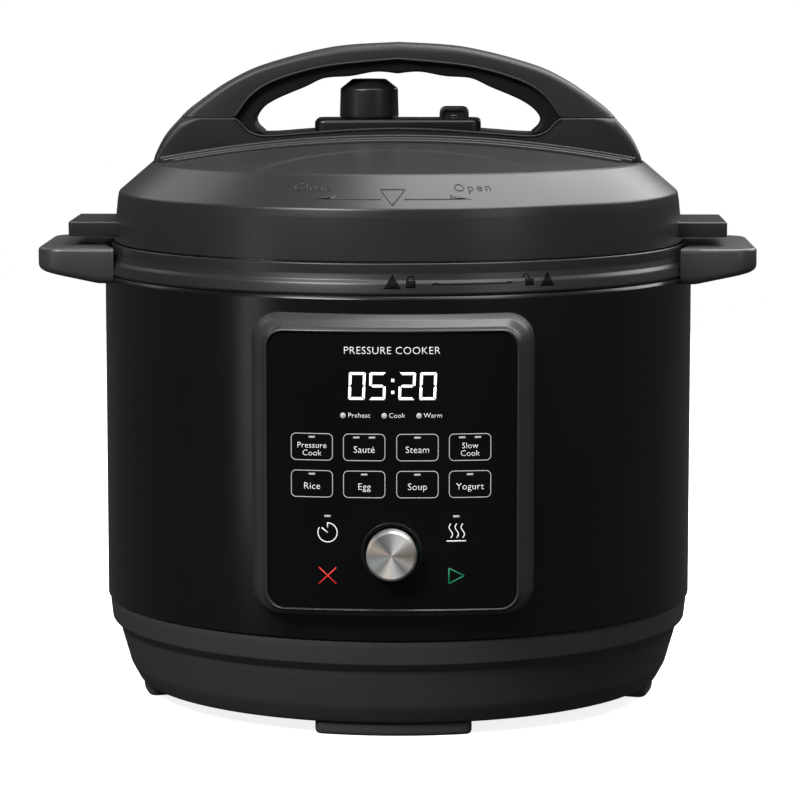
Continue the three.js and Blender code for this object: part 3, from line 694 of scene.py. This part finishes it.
class Print:
    """Flat artwork in millimetres, wrapped onto a surface and given a little thickness."""

    def __init__(self):
        self.verts, self.faces = [], []

    def polygon(self, points):
        start = len(self.verts)
        self.verts += [tuple(p) for p in points]
        self.faces.append(tuple(range(start, len(self.verts))))

    def ribbon(self, points, width, closed=False):
        """A stroke along a line."""
        line = [Vector(p) for p in points]
        count = len(line)
        start = len(self.verts)
        for i, here in enumerate(line):
            before = line[i - 1] if closed or i else here
            after = line[(i + 1) % count] if closed or i < count - 1 else here
            across = Vector((before.y - after.y, after.x - before.x)).normalized() * width / 2
            self.verts += [tuple(here + across), tuple(here - across)]
        for i in range(count if closed else count - 1):
            a, b = start + 2 * i, start + 2 * ((i + 1) % count)
            self.faces.append((a, a + 1, b + 1, b))

    def disc(self, x, z, radius, steps=24):
        self.polygon([p[:2] for p in circle(radius, 0, steps, x, z)])

    def bar(self, x, z, width, height):
        self.polygon(rounded_rect(*around(x, z, width, height), height * 0.45, 3))

    def strips(self, x, low, high, half_width, rows=10, columns=6):
        """A filled shape in small cells, from its half width at each share of its height."""
        for i in range(rows):
            for k in range(columns):
                cell = []
                for row, column in ((i, k), (i, k + 1), (i + 1, k + 1), (i + 1, k)):
                    share, across = row / rows, 2 * column / columns - 1
                    cell.append((x + half_width(share) * across, low + (high - low) * share))
                self.polygon(cell)

    def text(self, words, x, z, size, spacing=1.0):
        """Plain lettering, centred on (x, z)."""
        curve = bpy.data.curves.new("words", "FONT")
        curve.body, curve.size = words, size
        curve.align_x = curve.align_y = "CENTER"
        curve.space_character = spacing
        curve.space_line = 0.92
        curve.offset = -0.012 * size
        curve.resolution_u = 3
        holder = placed("words", curve)
        bpy.context.view_layer.update()
        graph = bpy.context.evaluated_depsgraph_get()
        mesh = bpy.data.meshes.new_from_object(holder.evaluated_get(graph))
        start = len(self.verts)
        self.verts += [(x + v.co.x, z + v.co.y) for v in mesh.vertices]
        self.faces += [tuple(start + i for i in p.vertices) for p in mesh.polygons]
        bpy.data.objects.remove(holder)

    def wrap(self, name, surface, thickness=0.12):
        """The artwork on a surface, which maps (u, v) to a point."""
        obj = piece_from(name, [surface(u, v) for u, v in self.verts], self.faces)
        solid = obj.modifiers.new("thickness", "SOLIDIFY")
        solid.thickness, solid.offset = thickness * MM, 0
        return obj


def on_fascia(u, v):
    return (u, fascia_y(u) - 0.05, v)


SEGMENTS = {"0": "abcdef", "5": "afgcd", "2": "abged"}      # the lit bars of each digit


def digit(art, glyph, x, z):
    """One seven-segment digit with mitred bars; x and z are its centre."""
    w, h, s, gap = 3.6, 6.0, 1.15, 0.25      # half width, half height, stroke, gap between bars
    top = [(-w + gap, h), (w - gap, h), (w - s - gap, h - s), (-w + s + gap, h - s)]
    side = [(w, h - gap), (w, gap), (w - s / 2, gap / 2), (w - s, s / 2 + gap), (w - s, h - s - gap)]
    near, far = w - s * 0.8, w - s * 1.3
    middle = [(-near, 0), (-far, s / 2), (far, s / 2), (near, 0), (far, -s / 2), (-far, -s / 2)]
    bars = {
        "a": (top, 1, 1), "d": (top, 1, -1), "g": (middle, 1, 1),
        "b": (side, 1, 1), "c": (side, 1, -1), "e": (side, -1, -1), "f": (side, -1, 1),
    }
    for name in SEGMENTS[glyph]:
        bar, mirror_x, mirror_z = bars[name]
        art.polygon([(x + u * mirror_x + 0.04 * v * mirror_z, z + v * mirror_z) for u, v in bar])


# The panel's layout: heights, columns, and the width and height of a key.
TITLE_Z, DIGITS_Z, STATUS_Z, LAMP_Z, TIMER_Z, MARK_Z = 175.2, 159.9, 147.0, 102.8, 95.6, 76.6
ROWS_Z, COLUMNS_X, ICON_X, KEY_SIZE = (133.1, 116.9), (-34.8, -12.0, 11.1, 33.9), 28.0, (18.0, 11.6)


def build_print():
    white, grey, lit = Print(), Print(), Print()
    white.text("PRESSURE COOKER", 0, TITLE_Z, 4.6, 1.06)
    for glyph, x in zip("0520", (-15.1, -6.2, 6.6, 15.7)):
        digit(lit, glyph, x, DIGITS_Z)
    for dz in (-2.7, 2.5):
        square = (-1, -1), (1, -1), (1, 1), (-1, 1)
        lit.polygon([(0.4 + u * 0.65, DIGITS_Z + dz + v * 0.65) for u, v in square])
    for x, middle, word in ((-21.2, -14.2, "Preheat"), (-3.3, 2.2, "Cook"), (11.8, 17.8, "Warm")):
        grey.disc(x, STATUS_Z, 1.2)
        white.text(word, middle, STATUS_Z, 3.0, 1.04)
    names = (("Pressure\nCook", "Sauté", "Steam", "Slow\nCook"), ("Rice", "Egg", "Soup", "Yogurt"))
    width, height = KEY_SIZE
    for z, words in zip(ROWS_Z, names):
        for x, word in zip(COLUMNS_X, words):
            grey.ribbon(rounded_rect(*around(x, z, width, height), 2, 5, 10), 0.32, closed=True)
            lamps = (-3.4, 3.4) if word in ("Sauté", "Slow\nCook") else (0,)
            for dx in lamps:
                grey.bar(x + dx, z + height / 2 - 1.5, 2.9, 0.8)
            white.text(word, x, z - 1.1, 3.6 if "\n" in word else 4.2, 1.03)
    for sign in (-1, 1):
        grey.bar(sign * ICON_X, LAMP_Z, 2.9, 0.9)
    draw_timer(white, -ICON_X, TIMER_Z)
    draw_heat(white, ICON_X, TIMER_Z)
    red, green = Print(), Print()
    for slope in (-1, 1):
        cross = [(-ICON_X + 3.8 * t, MARK_Z + 3.6 * t * slope) for t in (-1, 1)]
        red.ribbon(cross, 0.55)
    play = [(ICON_X + dx, MARK_Z + dz) for dx, dz in ((-3.2, 3.4), (-3.2, -3.4), (3.4, 0))]
    for a, b in zip(play, play[1:] + play[:1]):
        green.ribbon([a, b], 0.55)
    # The words, grey outlines and lamp bars, and the red and green key marks glow as painted light; only the
    # display's digits are a lit window.
    for art, name, look, color, glow in (
        (white, "panel_words", "print_white", (0.72, 0.72, 0.72), 0.75),
        (grey, "panel_outlines", "print_grey", (0.36, 0.36, 0.37), 0.75),
        (lit, "display_digits", "display_white", (0.95, 0.97, 1.0), 1.3),
        (red, "cancel_mark", "print_red", (0.62, 0.03, 0.025), 0.55),
        (green, "start_mark", "print_green", (0.004, 0.16, 0.07), 0.7),
    ):
        material = printed(look, color, glow)
        finish(art.wrap(name, on_fascia), "housing", "panel_gloss", material=material)


def draw_timer(art, x, z):
    """An open clock face with a hand."""
    art.ribbon([polar(4.2, radians(a), x, z) for a in range(150, 451, 6)], 0.42)
    art.ribbon([(x, z + 4.4), (x, z + 2.2)], 0.42)
    art.ribbon([(x - 2.6, z + 2.1), (x, z)], 0.5)


def draw_heat(art, x, z):
    """Three waves of heat over a hob line."""
    for dx in (-2.4, 0.2, 2.8):
        wave = [(x + dx + 0.75 * sin(2 * pi * t), z - 2.2 + 6.2 * t) for t in shares(16)]
        art.ribbon(wave, 0.42)
    art.ribbon([(x - 4.2, z - 3.6), (x + 4.2, z - 3.6)], 0.5)


def collar_radius(z):
    """The collar's outer radius at a height, read from its profile."""
    radius, foot = COLLAR_HIGH.x - 4, SHELL_HIGH.z + 1
    wall = [(r, h) for r, h in rounded(collar_profile(), True) if r > radius and h >= foot]
    wall.sort(key=lambda p: p[1])
    for (r0, z0), (r1, z1) in zip(wall, wall[1:]):
        if z0 <= z <= z1 and z1 > z0:
            return r0 + (r1 - r0) * (z - z0) / (z1 - z0)
    return wall[-1][0]


def on_collar(u, v):
    radius = collar_radius(v) + 0.05
    return (*polar(radius, u / radius - pi / 2), v)


def draw_padlock(art, x, z, open_by):
    art.strips(x, z - 2.3, z + 0.7, lambda share: 2.1, 8, 4)
    turn = [pi * t for t in shares(12)]
    middle, end = x - open_by, 1.4 if open_by else 0.7
    bow = [(middle + 1.35 * cos(a), z + 1.5 + 1.3 * sin(a)) for a in turn]
    art.ribbon([(middle + 1.35, z + 0.7), *bow, (middle - 1.35, z + end)], 0.5)


def build_collar_marks():
    """Lock marks for the lid's pointer: shut at the front, open a twelfth of a turn to the right, drawn
    near-black as painted shade for the pressed-in icons.
    """
    art = Print()
    radius = COLLAR_HIGH.x - 2
    z = 203.9
    for degrees in (0.0, 30.0):
        x = radians(degrees) * radius
        art.strips(x, z - 2.7, z + 3.4, lambda share: 3.7 * (1 - share) + 0.05)
    draw_padlock(art, 8.0, z, 0)
    draw_padlock(art, radians(26.2) * radius, z, 1.6)
    art.ribbon([(x, z - 0.9) for x in range(20, 52, 2)], 0.45)
    for x, toward in ((17.5, 1), (53.5, -1)):
        art.ribbon([(x, z - 0.9), (x + toward * 1.5, z - 0.4), (x + toward * 3, z - 0.9)], 0.7)
    finish(art.wrap("collar_marks", on_collar, 0.1), "housing", "dark_plastic", material=MARK_SHADE)


# ---- lid


def dome_z(distance):
    radius = (DOME_EDGE ** 2 + DOME_DROP ** 2) / (2 * DOME_DROP)
    return COVER_HIGH.z - radius + sqrt(radius ** 2 - distance ** 2)


# radius and height of the two edges of the sloping band round the lid
CONE = {"shoulder": (130.9, 235.4), "crest": (115.3, 248.8)}


def dome_dip(x, y):
    """Depth of the shallow crescent pressed into the dome in front of and behind the handle."""
    reach = hypot(x / 68, (abs(y) - DOME_EDGE) / 58)
    return 0.8 * min(max((1 - reach) * 24, 0), 1)


def build_cover():
    bottom = COVER_LOW.z
    outside = [
        (COVER_R - 2.8, bottom, 0.3), (COVER_R - 0.25, bottom, 0.2), (COVER_R, bottom + 0.35, 0.2),
        (COVER_R - 1.9, bottom + 19, 6), (*CONE["shoulder"], 2.6), (*CONE["crest"], 0.8),
        (113.6, 249.6, 0.6), (DOME_EDGE, 249.1, 0),
    ]
    path = rounded([(COVER_R - 2.8, bottom + 3, 0), *outside])
    dome_rings = 70
    reach = [DOME_EDGE * (1 - t) for t in shares(dome_rings)[1:]]
    path += [Vector((r, dome_z(r))) for r in reach]
    inner = [(0, dome_z(0) - 2.4), (75, dome_z(75) - 2.4), (112, 246.4), (127, 234), (COVER_R - 4.6, 230)]
    path += [Vector(p) for p in inner]
    steps = 360
    rings = [circle(r, z, steps) for r, z in path]
    last = len(path) - len(inner)
    for i in range(last - dome_rings, last):
        rings[i] = [(x, y, z - dome_dip(x, y)) for x, y, z in rings[i]]
    cover = loft("lid_shell", rings, loop=True)
    finish(carve(cover, *lid_holes(4.6, 3.2, 240, 270)), "lid", "lid_plastic", "lid_cover", angle=26)


def on_cone(u, v):
    """A point v millimetres up the cone from the shoulder and u millimetres to the right of the front."""
    (r0, z0), (r1, z1) = CONE["shoulder"], CONE["crest"]
    share = v / hypot(r1 - r0, z1 - z0)
    radius, z = r0 + (r1 - r0) * share, z0 + (z1 - z0) * share
    lift, middle_radius = 0.1, 124
    return (*polar(radius + lift * 0.6, u / middle_radius - pi / 2), z + lift * 0.8)


def build_lid_marks():
    """The raised pointer and the two arrows that show which way the lid turns."""
    art = Print()
    pointer = [(-5.4, 12.2), (0, 2.4), (5.4, 12.2)]
    for (x0, z0), (x1, z1) in zip(pointer, pointer[1:] + pointer[:1]):
        art.ribbon([(x0 + (x1 - x0) * t, z0 + (z1 - z0) * t) for t in shares(8)], 0.6)
    for sign in (-1, 1):
        art.ribbon([(sign * x, 6.0) for x in range(5, 29, 2)], 0.5)
        for a, b in zip(shares(8), shares(8)[1:]):
            cell = (a, 0), (b, 0), (b, 2.6 * (1 - b) + 0.02), (a, 2.6 * (1 - a))
            art.polygon([(sign * (25 + 9 * share), 5.8 + rise) for share, rise in cell])
    art.text("Close", -36.5, 12.8, 6.6, 1.2)
    art.text("Open", 36, 12.8, 6.6, 1.25)
    finish(art.wrap("lid_arrows", on_cone, 0.16), "lid", "lid_plastic")


# The handle's curves, seen from the front, as (distance from the middle, height).
ARCH = [(0, 304.3), (30.5, 302.1), (61.3, 294.5), (78.5, 286.9), (95.1, 275.5), (101, 270.2)]
LIP = [(0, 296.7), (32.8, 293.4), (56.2, 287), (67.9, 280), (75.5, 270.2)]
LINER_BACK = [
    (0, 297.1), (32.9, 293.9), (56.5, 287.5), (68.3, 280.3), (75.9, 270.4), (71.4, 265.8), (66.5, 263.1),
]
FINGERS = [
    (0, 290.2), (10, 291), (22, 289), (34, 288), (43, 284), (56, 278.5), (63, 274), (66.4, 269.3),
    (65.9, 266), (62.6, 262.9),
]
RAIL_TOP = [
    (0, 265.4), (20, 264.8), (44.5, 263.1), (58, 262.1), (65, 262.4), (70.2, 264.9), (73, 268),
    (75.6, 269.9),
]
TOE = [(101, 269.9), (107.8, 262.2), (112.2, 254), (113.8, 248.4)]


def handle_bay(low, high):
    """The room between two heights, inside the handle's foot, for the valve and the button."""
    return cut_box((-24, -8, low), (34, 8, high))


def rim_beads(curve, half):
    """A fine bead along both long edges of an opening."""
    return [tube("bead", both_ways(curve, y), 0.55) for y in (-half, half)]


def build_grip():
    """The upper half of the handle."""
    steps = 56
    arch, lip = along(ARCH, steps), along(LIP, steps)
    over = [3.6 + 2.6 * t for t in shares(steps)]
    grip = band("handle_arch", arch, lip, GRIP_HIGH.y, over, 0.9)
    grip = join(grip, *rim_beads(raised(lip, 0.5), GRIP_HIGH.y))
    finish(grip, "lid", "grip_plastic", "handle_grip", angle=40)


def build_liner():
    steps = 90
    back, fingers = along(LINER_BACK, steps), along(FINGERS, steps)
    strip = band("finger_liner", back, fingers, LINER_HIGH.y, [0.4] * len(back), 1.2)
    finish(strip, "lid", "dark_plastic", "grip_liner", angle=50)


def build_rail():
    """The lower half of the handle: two toes and the front lip under the opening, on a stepped foot."""
    opening = along(RAIL_TOP, 60)
    start, end = RAIL_TOP[-1][0], TOE[0][0]
    shelf = [Vector((start + (end - start) * t, TOE[0][1])) for t in shares(8)[1:-1]]
    toe = along(TOE, 16)
    over = [*opening, *shelf, *toe]
    under = [min(p.x, 111.8) for p in over]
    under = [Vector((x, max(dome_z(x) - 5, 243.5))) for x in under]
    round_over = [0.8] * len(opening) + [0.8, 0.8, 0.8, 0.8, 0.8, 2.0, 4.0] + [6.2] * len(toe)
    rail = band("handle_rail", over, under, RAIL_HIGH.y, round_over, 0.3)
    beads = rim_beads(raised(opening, -0.5), RAIL_HIGH.y)
    rail = join(carve(rail, handle_bay(255, 280)), *beads)
    # the lower half takes the darker, painted-shade copy of the grip plastic
    finish(rail, "lid", "grip_plastic", "handle_base", material=RAIL_SHADED_PLASTIC, angle=40)
    # reach to each side, height above the dome, and how much deeper than the rail
    plates = [
        ("handle_flange", 110, 2.4, 2.2), ("flange_step", 108.5, 1.3, 4.6), ("dome_step", 103, 0.6, 12),
    ]
    for name, reach, rise, out in plates:
        top = [Vector((reach * t, dome_z(reach * t) + rise)) for t in shares(60)]
        depth = RAIL_HIGH.y + out
        plate = band(name, top, raised(top, -3.5), depth, [0.9] * len(top), 0.2)
        finish(carve(plate, handle_bay(250, 280)), "lid", "lid_plastic", angle=40)


def build_deck():
    outline = rounded_rect(DECK_LOW.xy, DECK_HIGH.xy, 5, 8)
    deck = stacked("valve_table", outline, [(262, 0), *edge_levels(262, DECK_HIGH.z, 1.8)[5:]])
    bay = handle_bay(255, DECK_HIGH.z - 1.2)
    low, high = BUTTON_LOW - Vector((0.4, 0.4, 0)), BUTTON_HIGH + Vector((0.4, 0.4, 0))
    slot = cut_box((*low.xy, 255), (*high.xy, 280))
    deck = carve(deck, bay, slot, *lid_holes(4.7, 3.1, 255, 280))
    finish(deck, "lid", "lid_plastic", "valve_deck", material=DECK_PLASTIC)


def build_valve():
    low, high, radius = KNOB_LOW.z, KNOB_HIGH.z, KNOB_HIGH.x - VENT_X
    knob = turned("steam_knob", [
        (4.3, low, 0.1), (radius - 0.4, low, 0.3), (radius, low + 1, 0.8), (radius - 0.35, high - 4.4, 1.6),
        (radius - 5.4, high - 0.4, 1.2), (radius - 6.0, high, 0.5), (0.3, high - 0.25, 0),
        (0.3, high - 3, 0), (4.3, high - 3, 0.3),
    ], 128, VENT_X)
    finish(knob, "steam_valve", "panel_gloss", "steam_valve_knob", material=KNOB_GLOSS)


def build_button():
    """The quick-release tab, with a dished front."""
    low, high = BUTTON_LOW, BUTTON_HIGH
    middle = (low.x + high.x) / 2
    half = (high.x - low.x) / 2
    foot = DECK_HIGH.z - 1.8
    shape = [(half, foot, 0), (half, high.z, 3.4), (-half, high.z, 3.4), (-half, foot, 0)]
    outline = [Vector((middle + p.x, p.y)) for p in rounded(shape, steps=8)]
    front = [(0.9, -half), (1.6, -half + 0.1), (2.0, -half + 0.5), (2.4, -half + 1.3)]
    back = [(0.9, half), (0.25, half - 0.25), (0, half - 0.9), (0, -half + 0.9), (0.25, -half + 0.25)]
    rings = [upright_ring(outline, amount, y) for amount, y in back + front]
    finish(loft("release_tab", rings), "button", "panel_gloss", "release_button", material=KNOB_GLOSS)


# ---- pots and lid steel


def lugs(inner, outer, low, high, count=6, half_angle=12.0):
    """Bayonet lugs."""
    pieces = []
    for i in range(count):
        turn = [radians(360 * i / count + half_angle * (2 * t - 1)) for t in shares(16)]
        ring = [polar(outer, a) for a in turn] + [polar(inner, a) for a in reversed(turn)]
        pieces.append(loft("lug", [[(*p, z) for p in ring] for z in (low, high)]))
    return pieces


def build_pots():
    low, high, rim = POT_LOW.z, POT_HIGH.z, POT_HIGH.x
    wall = 111.2
    pot = turned("inner_pot_steel", [
        (0, low, 0), (96, low, 4), (wall, low + 12, 12), (wall, high - 3.2, 1.2),
        (wall + 2.5, high - 1.6, 0.8), (rim - 0.4, high - 1.7, 0.5), (rim, high - 0.9, 0.4),
        (rim - 0.5, high, 0.4), (wall + 1.4, high, 1.2), (wall - 1.2, high - 3.4, 1.2),
        (wall - 1.2, low + 12.6, 12), (95.5, low + 1.4, 4), (0, low + 1.4, 0),
    ])
    finish(pot, "pot", "steel", "inner_pot")
    low, high = limits("outer_pot")
    liner = turned("liner_pot", [
        (89.5, low.z, 0.2), (115.5, low.z, 2), (118.2, low.z + 3, 2), (118.2, 201.5, 0.5),
        (122, 201.5, 0.4), (122, high.z, 0.4), (117, high.z, 0.8), (117, low.z + 3.4, 2),
        (115, low.z + 1.2, 2), (89.5, low.z + 1.2, 0.2),
    ])
    liner = join(liner, *lugs(121.5, high.x, 201.5, high.z - 0.05))
    finish(liner, "housing", "steel", "outer_pot")


def build_lid_steel():
    low, high = limits("lid_plate")
    radius, under = high.x, high.z - 1.2
    disc = turned("lid_disc", [
        (0, under, 0), (100, under, 0), (102, under - 0.8, 1), (106, under - 0.8, 1), (108, under, 1),
        (125.5, under, 3), (radius - 1.2, 214.5, 3), (radius - 1.2, low.z, 0.2), (radius, low.z, 0.2),
        (radius, 215, 3), (126, high.z, 3), (0, high.z, 0),
    ])
    disc = join(disc, *lugs(121.2, radius - 0.6, low.z + 0.05, 199))
    finish(carve(disc, *lid_holes(4.5, 3.0, 200, 240)), "lid", "steel", "lid_plate")
    low, high = limits("sealing_ring")
    seal = turned("silicone_ring", [
        (112, low.z, 0.5), (114.5, low.z + 1.2, 1), (118, low.z + 1.2, 1), (high.x - 0.6, low.z, 0.6),
        (high.x, low.z + 2.4, 1), (high.x - 1.4, high.z - 0.4, 1), (116.5, high.z, 1),
        (113.2, high.z - 0.4, 1), (112, high.z - 3, 1),
    ])
    finish(seal, "seal", "silicone", "sealing_ring")
    low, high = limits("ring_rack")
    rack = turned("seal_rack", [
        (109.3, low.z, 0.4), (111.2, low.z, 0.4), (111.2, low.z + 1.2, 0.3), (110.2, low.z + 1.4, 0.2),
        (110.2, high.z, 0.1), (109.3, high.z, 0.1),
    ])
    finish(rack, "lid", "steel", "ring_rack")
    low, high = limits("anti_block_shield")
    x = (low.x + high.x) / 2
    guard = turned("vent_guard", [
        (0.2, low.z, 0), (12.5, low.z, 1.2), (14, low.z + 1.8, 1), (14, high.z, 0.1), (13.2, high.z, 0.1),
        (13.2, low.z + 2, 1), (12, low.z + 0.9, 0.6), (0.2, low.z + 0.9, 0),
    ], 72, x)
    slots = [cut_bar(1.6, low.z - 2, low.z + 3, *polar(8, radians(60 * i), x)) for i in range(6)]
    finish(carve(guard, *slots), "lid", "steel", "anti_block_shield")


# ---- rear pieces


def build_cup():
    """An open cup that hangs from its brim."""
    low, high = CUP_LOW, CUP_HIGH
    half, wall, neck = 28.0, 1.5, 189.8
    outer = rounded_rect((-half, low.y), (half, high.y), 5, 8, 4)
    brim = rounded_rect(low.xy, high.xy, 4, 8, 4)
    rings = [level_ring(outer, amount, z) for z, amount in edge_levels(low.z, neck, 2.2)[:6]]
    rings += [level_ring(brim, 0, z) for z in (neck + 0.8, high.z - 0.3)]
    rings.append(level_ring(brim, 0.4, high.z))
    bed = low.z + wall
    inside = (high.z, 0), (high.z - 1, 0.1), (bed + 2, 0.2), (bed + 0.6, 0.9), (bed, 2.6)
    rings += [level_ring(outer, wall + amount, z) for z, amount in inside]
    finish(loft("drip_cup", rings), "cup", "clear_plastic", "condensation_cup")


def build_inlet():
    low, high = INLET_LOW, INLET_HIGH
    outline = rounded_rect(low.xz, high.xz, 2.5, 6)
    mouth = rounded_rect((-12, 14.5), (12, 30.5), 3.5, 6)
    shell = (low.y, 0), (high.y - 0.8, 0), (high.y - 0.2, 0.3), (high.y, 0.9)
    rings = [upright_ring(outline, amount, y) for y, amount in shell]
    socket_floor = 112.0
    inside = (high.y, -0.4), (high.y - 0.6, 0), (socket_floor, 0)
    rings += [upright_ring(mouth, amount, y) for y, amount in inside]
    socket = loft("inlet_socket", rings)
    finish(socket, "housing", "dark_plastic", "power_inlet")


# ---- scene


def paint_cad_nodes():
    """Every CAD node that still shows takes the look of its material slot."""
    slots = {part["node"]: part["material_slot"] for part in frame["record"]["subparts"]}
    for name, node in frame["nodes"].items():
        node.data.materials.clear()
        node.data.materials.append(LOOKS[slots[name]])


def build_stage():
    mesh = bpy.data.meshes.new("floor")
    reach_x, front, back = 1.2, -0.5, 1.6
    corners = [(-reach_x, front, 0), (reach_x, front, 0), (reach_x, back, 0), (-reach_x, back, 0)]
    mesh.from_pydata(corners, [], [(0, 1, 2, 3)])
    floor = placed("floor", mesh)
    shader = Shader("floor_white", (0.9, 0.9, 0.9), 0.7)
    shader.vary_roughness(0.1, 3, 2)
    shader.glow((1, 1, 1), 0.85)
    floor.data.materials.append(shader.material)
    floor.visible_diffuse = floor.visible_glossy = False


def area_light(name, place, target, size, power):
    data = bpy.data.lights.new(name, "AREA")
    data.shape, data.energy = "RECTANGLE", power
    data.size, data.size_y = size
    lamp = placed(name, data)
    lamp.location = place
    lamp.rotation_euler = (Vector(target) - Vector(place)).to_track_quat("-Z", "Y").to_euler()


def build_lights():
    middle = (0, 0, 0.2)
    area_light("overhead", (0.3, 0.0, 1.35), middle, (1.5, 0.9), 22.5)
    area_light("back_right", (0.85, 0.7, 0.95), middle, (1.1, 0.8), 10.5)
    area_light("back_left", (-0.8, 0.6, 0.95), middle, (0.7, 0.6), 1.6)
    area_light("left_strip", (-0.95, -0.7, 0.16), (0, 0, 0.14), (0.18, 0.5), 0.35)
    area_light("front_high", (-0.9, -1.4, 1.5), middle, (0.9, 0.8), 38)
    area_light("front_right", (1.4, -1.6, 0.9), middle, (0.8, 0.8), 3.0)


def build_world():
    """White behind the object, dim grey in everything it reflects."""
    world = bpy.data.worlds.new("studio")
    world.use_nodes = True
    tree = world.node_tree
    paths = tree.nodes.new("ShaderNodeLightPath")
    mix = tree.nodes.new("ShaderNodeMix")
    mix.data_type = "RGBA"
    feed(mix, A=(0.06, 0.061, 0.064, 1), B=(1, 1, 1, 1), Factor=paths.outputs["Is Camera Ray"])
    feed(tree.nodes["Background"], Color=mix.outputs["Result"])
    bpy.context.scene.world = world


def build_camera():
    away, height, degrees_right = 1.686, 0.3448, 1.1
    aim = Vector((0.0008, 0, 0.1358))
    data = bpy.data.cameras.new("camera")
    data.lens, data.sensor_width = 161.5, 36
    camera = placed("camera", data)
    angle = radians(degrees_right)
    camera.location = (away * sin(angle), -away * cos(angle), height)
    camera.rotation_euler = (aim - camera.location).to_track_quat("-Z", "Y").to_euler()
    bpy.context.scene.camera = camera
    bpy.context.scene.view_settings.view_transform = "Standard"


paint_cad_nodes()
build_base()
build_feet()
build_shell()
build_collar()
build_side_handles()
build_fins()
build_bezel()
build_fascia()
build_dial()
build_print()
build_collar_marks()
build_cover()
build_lid_marks()
build_grip()
build_liner()
build_rail()
build_deck()
build_valve()
build_button()
build_pots()
build_lid_steel()
build_cup()
build_inlet()
build_stage()
build_lights()
build_world()
build_camera()
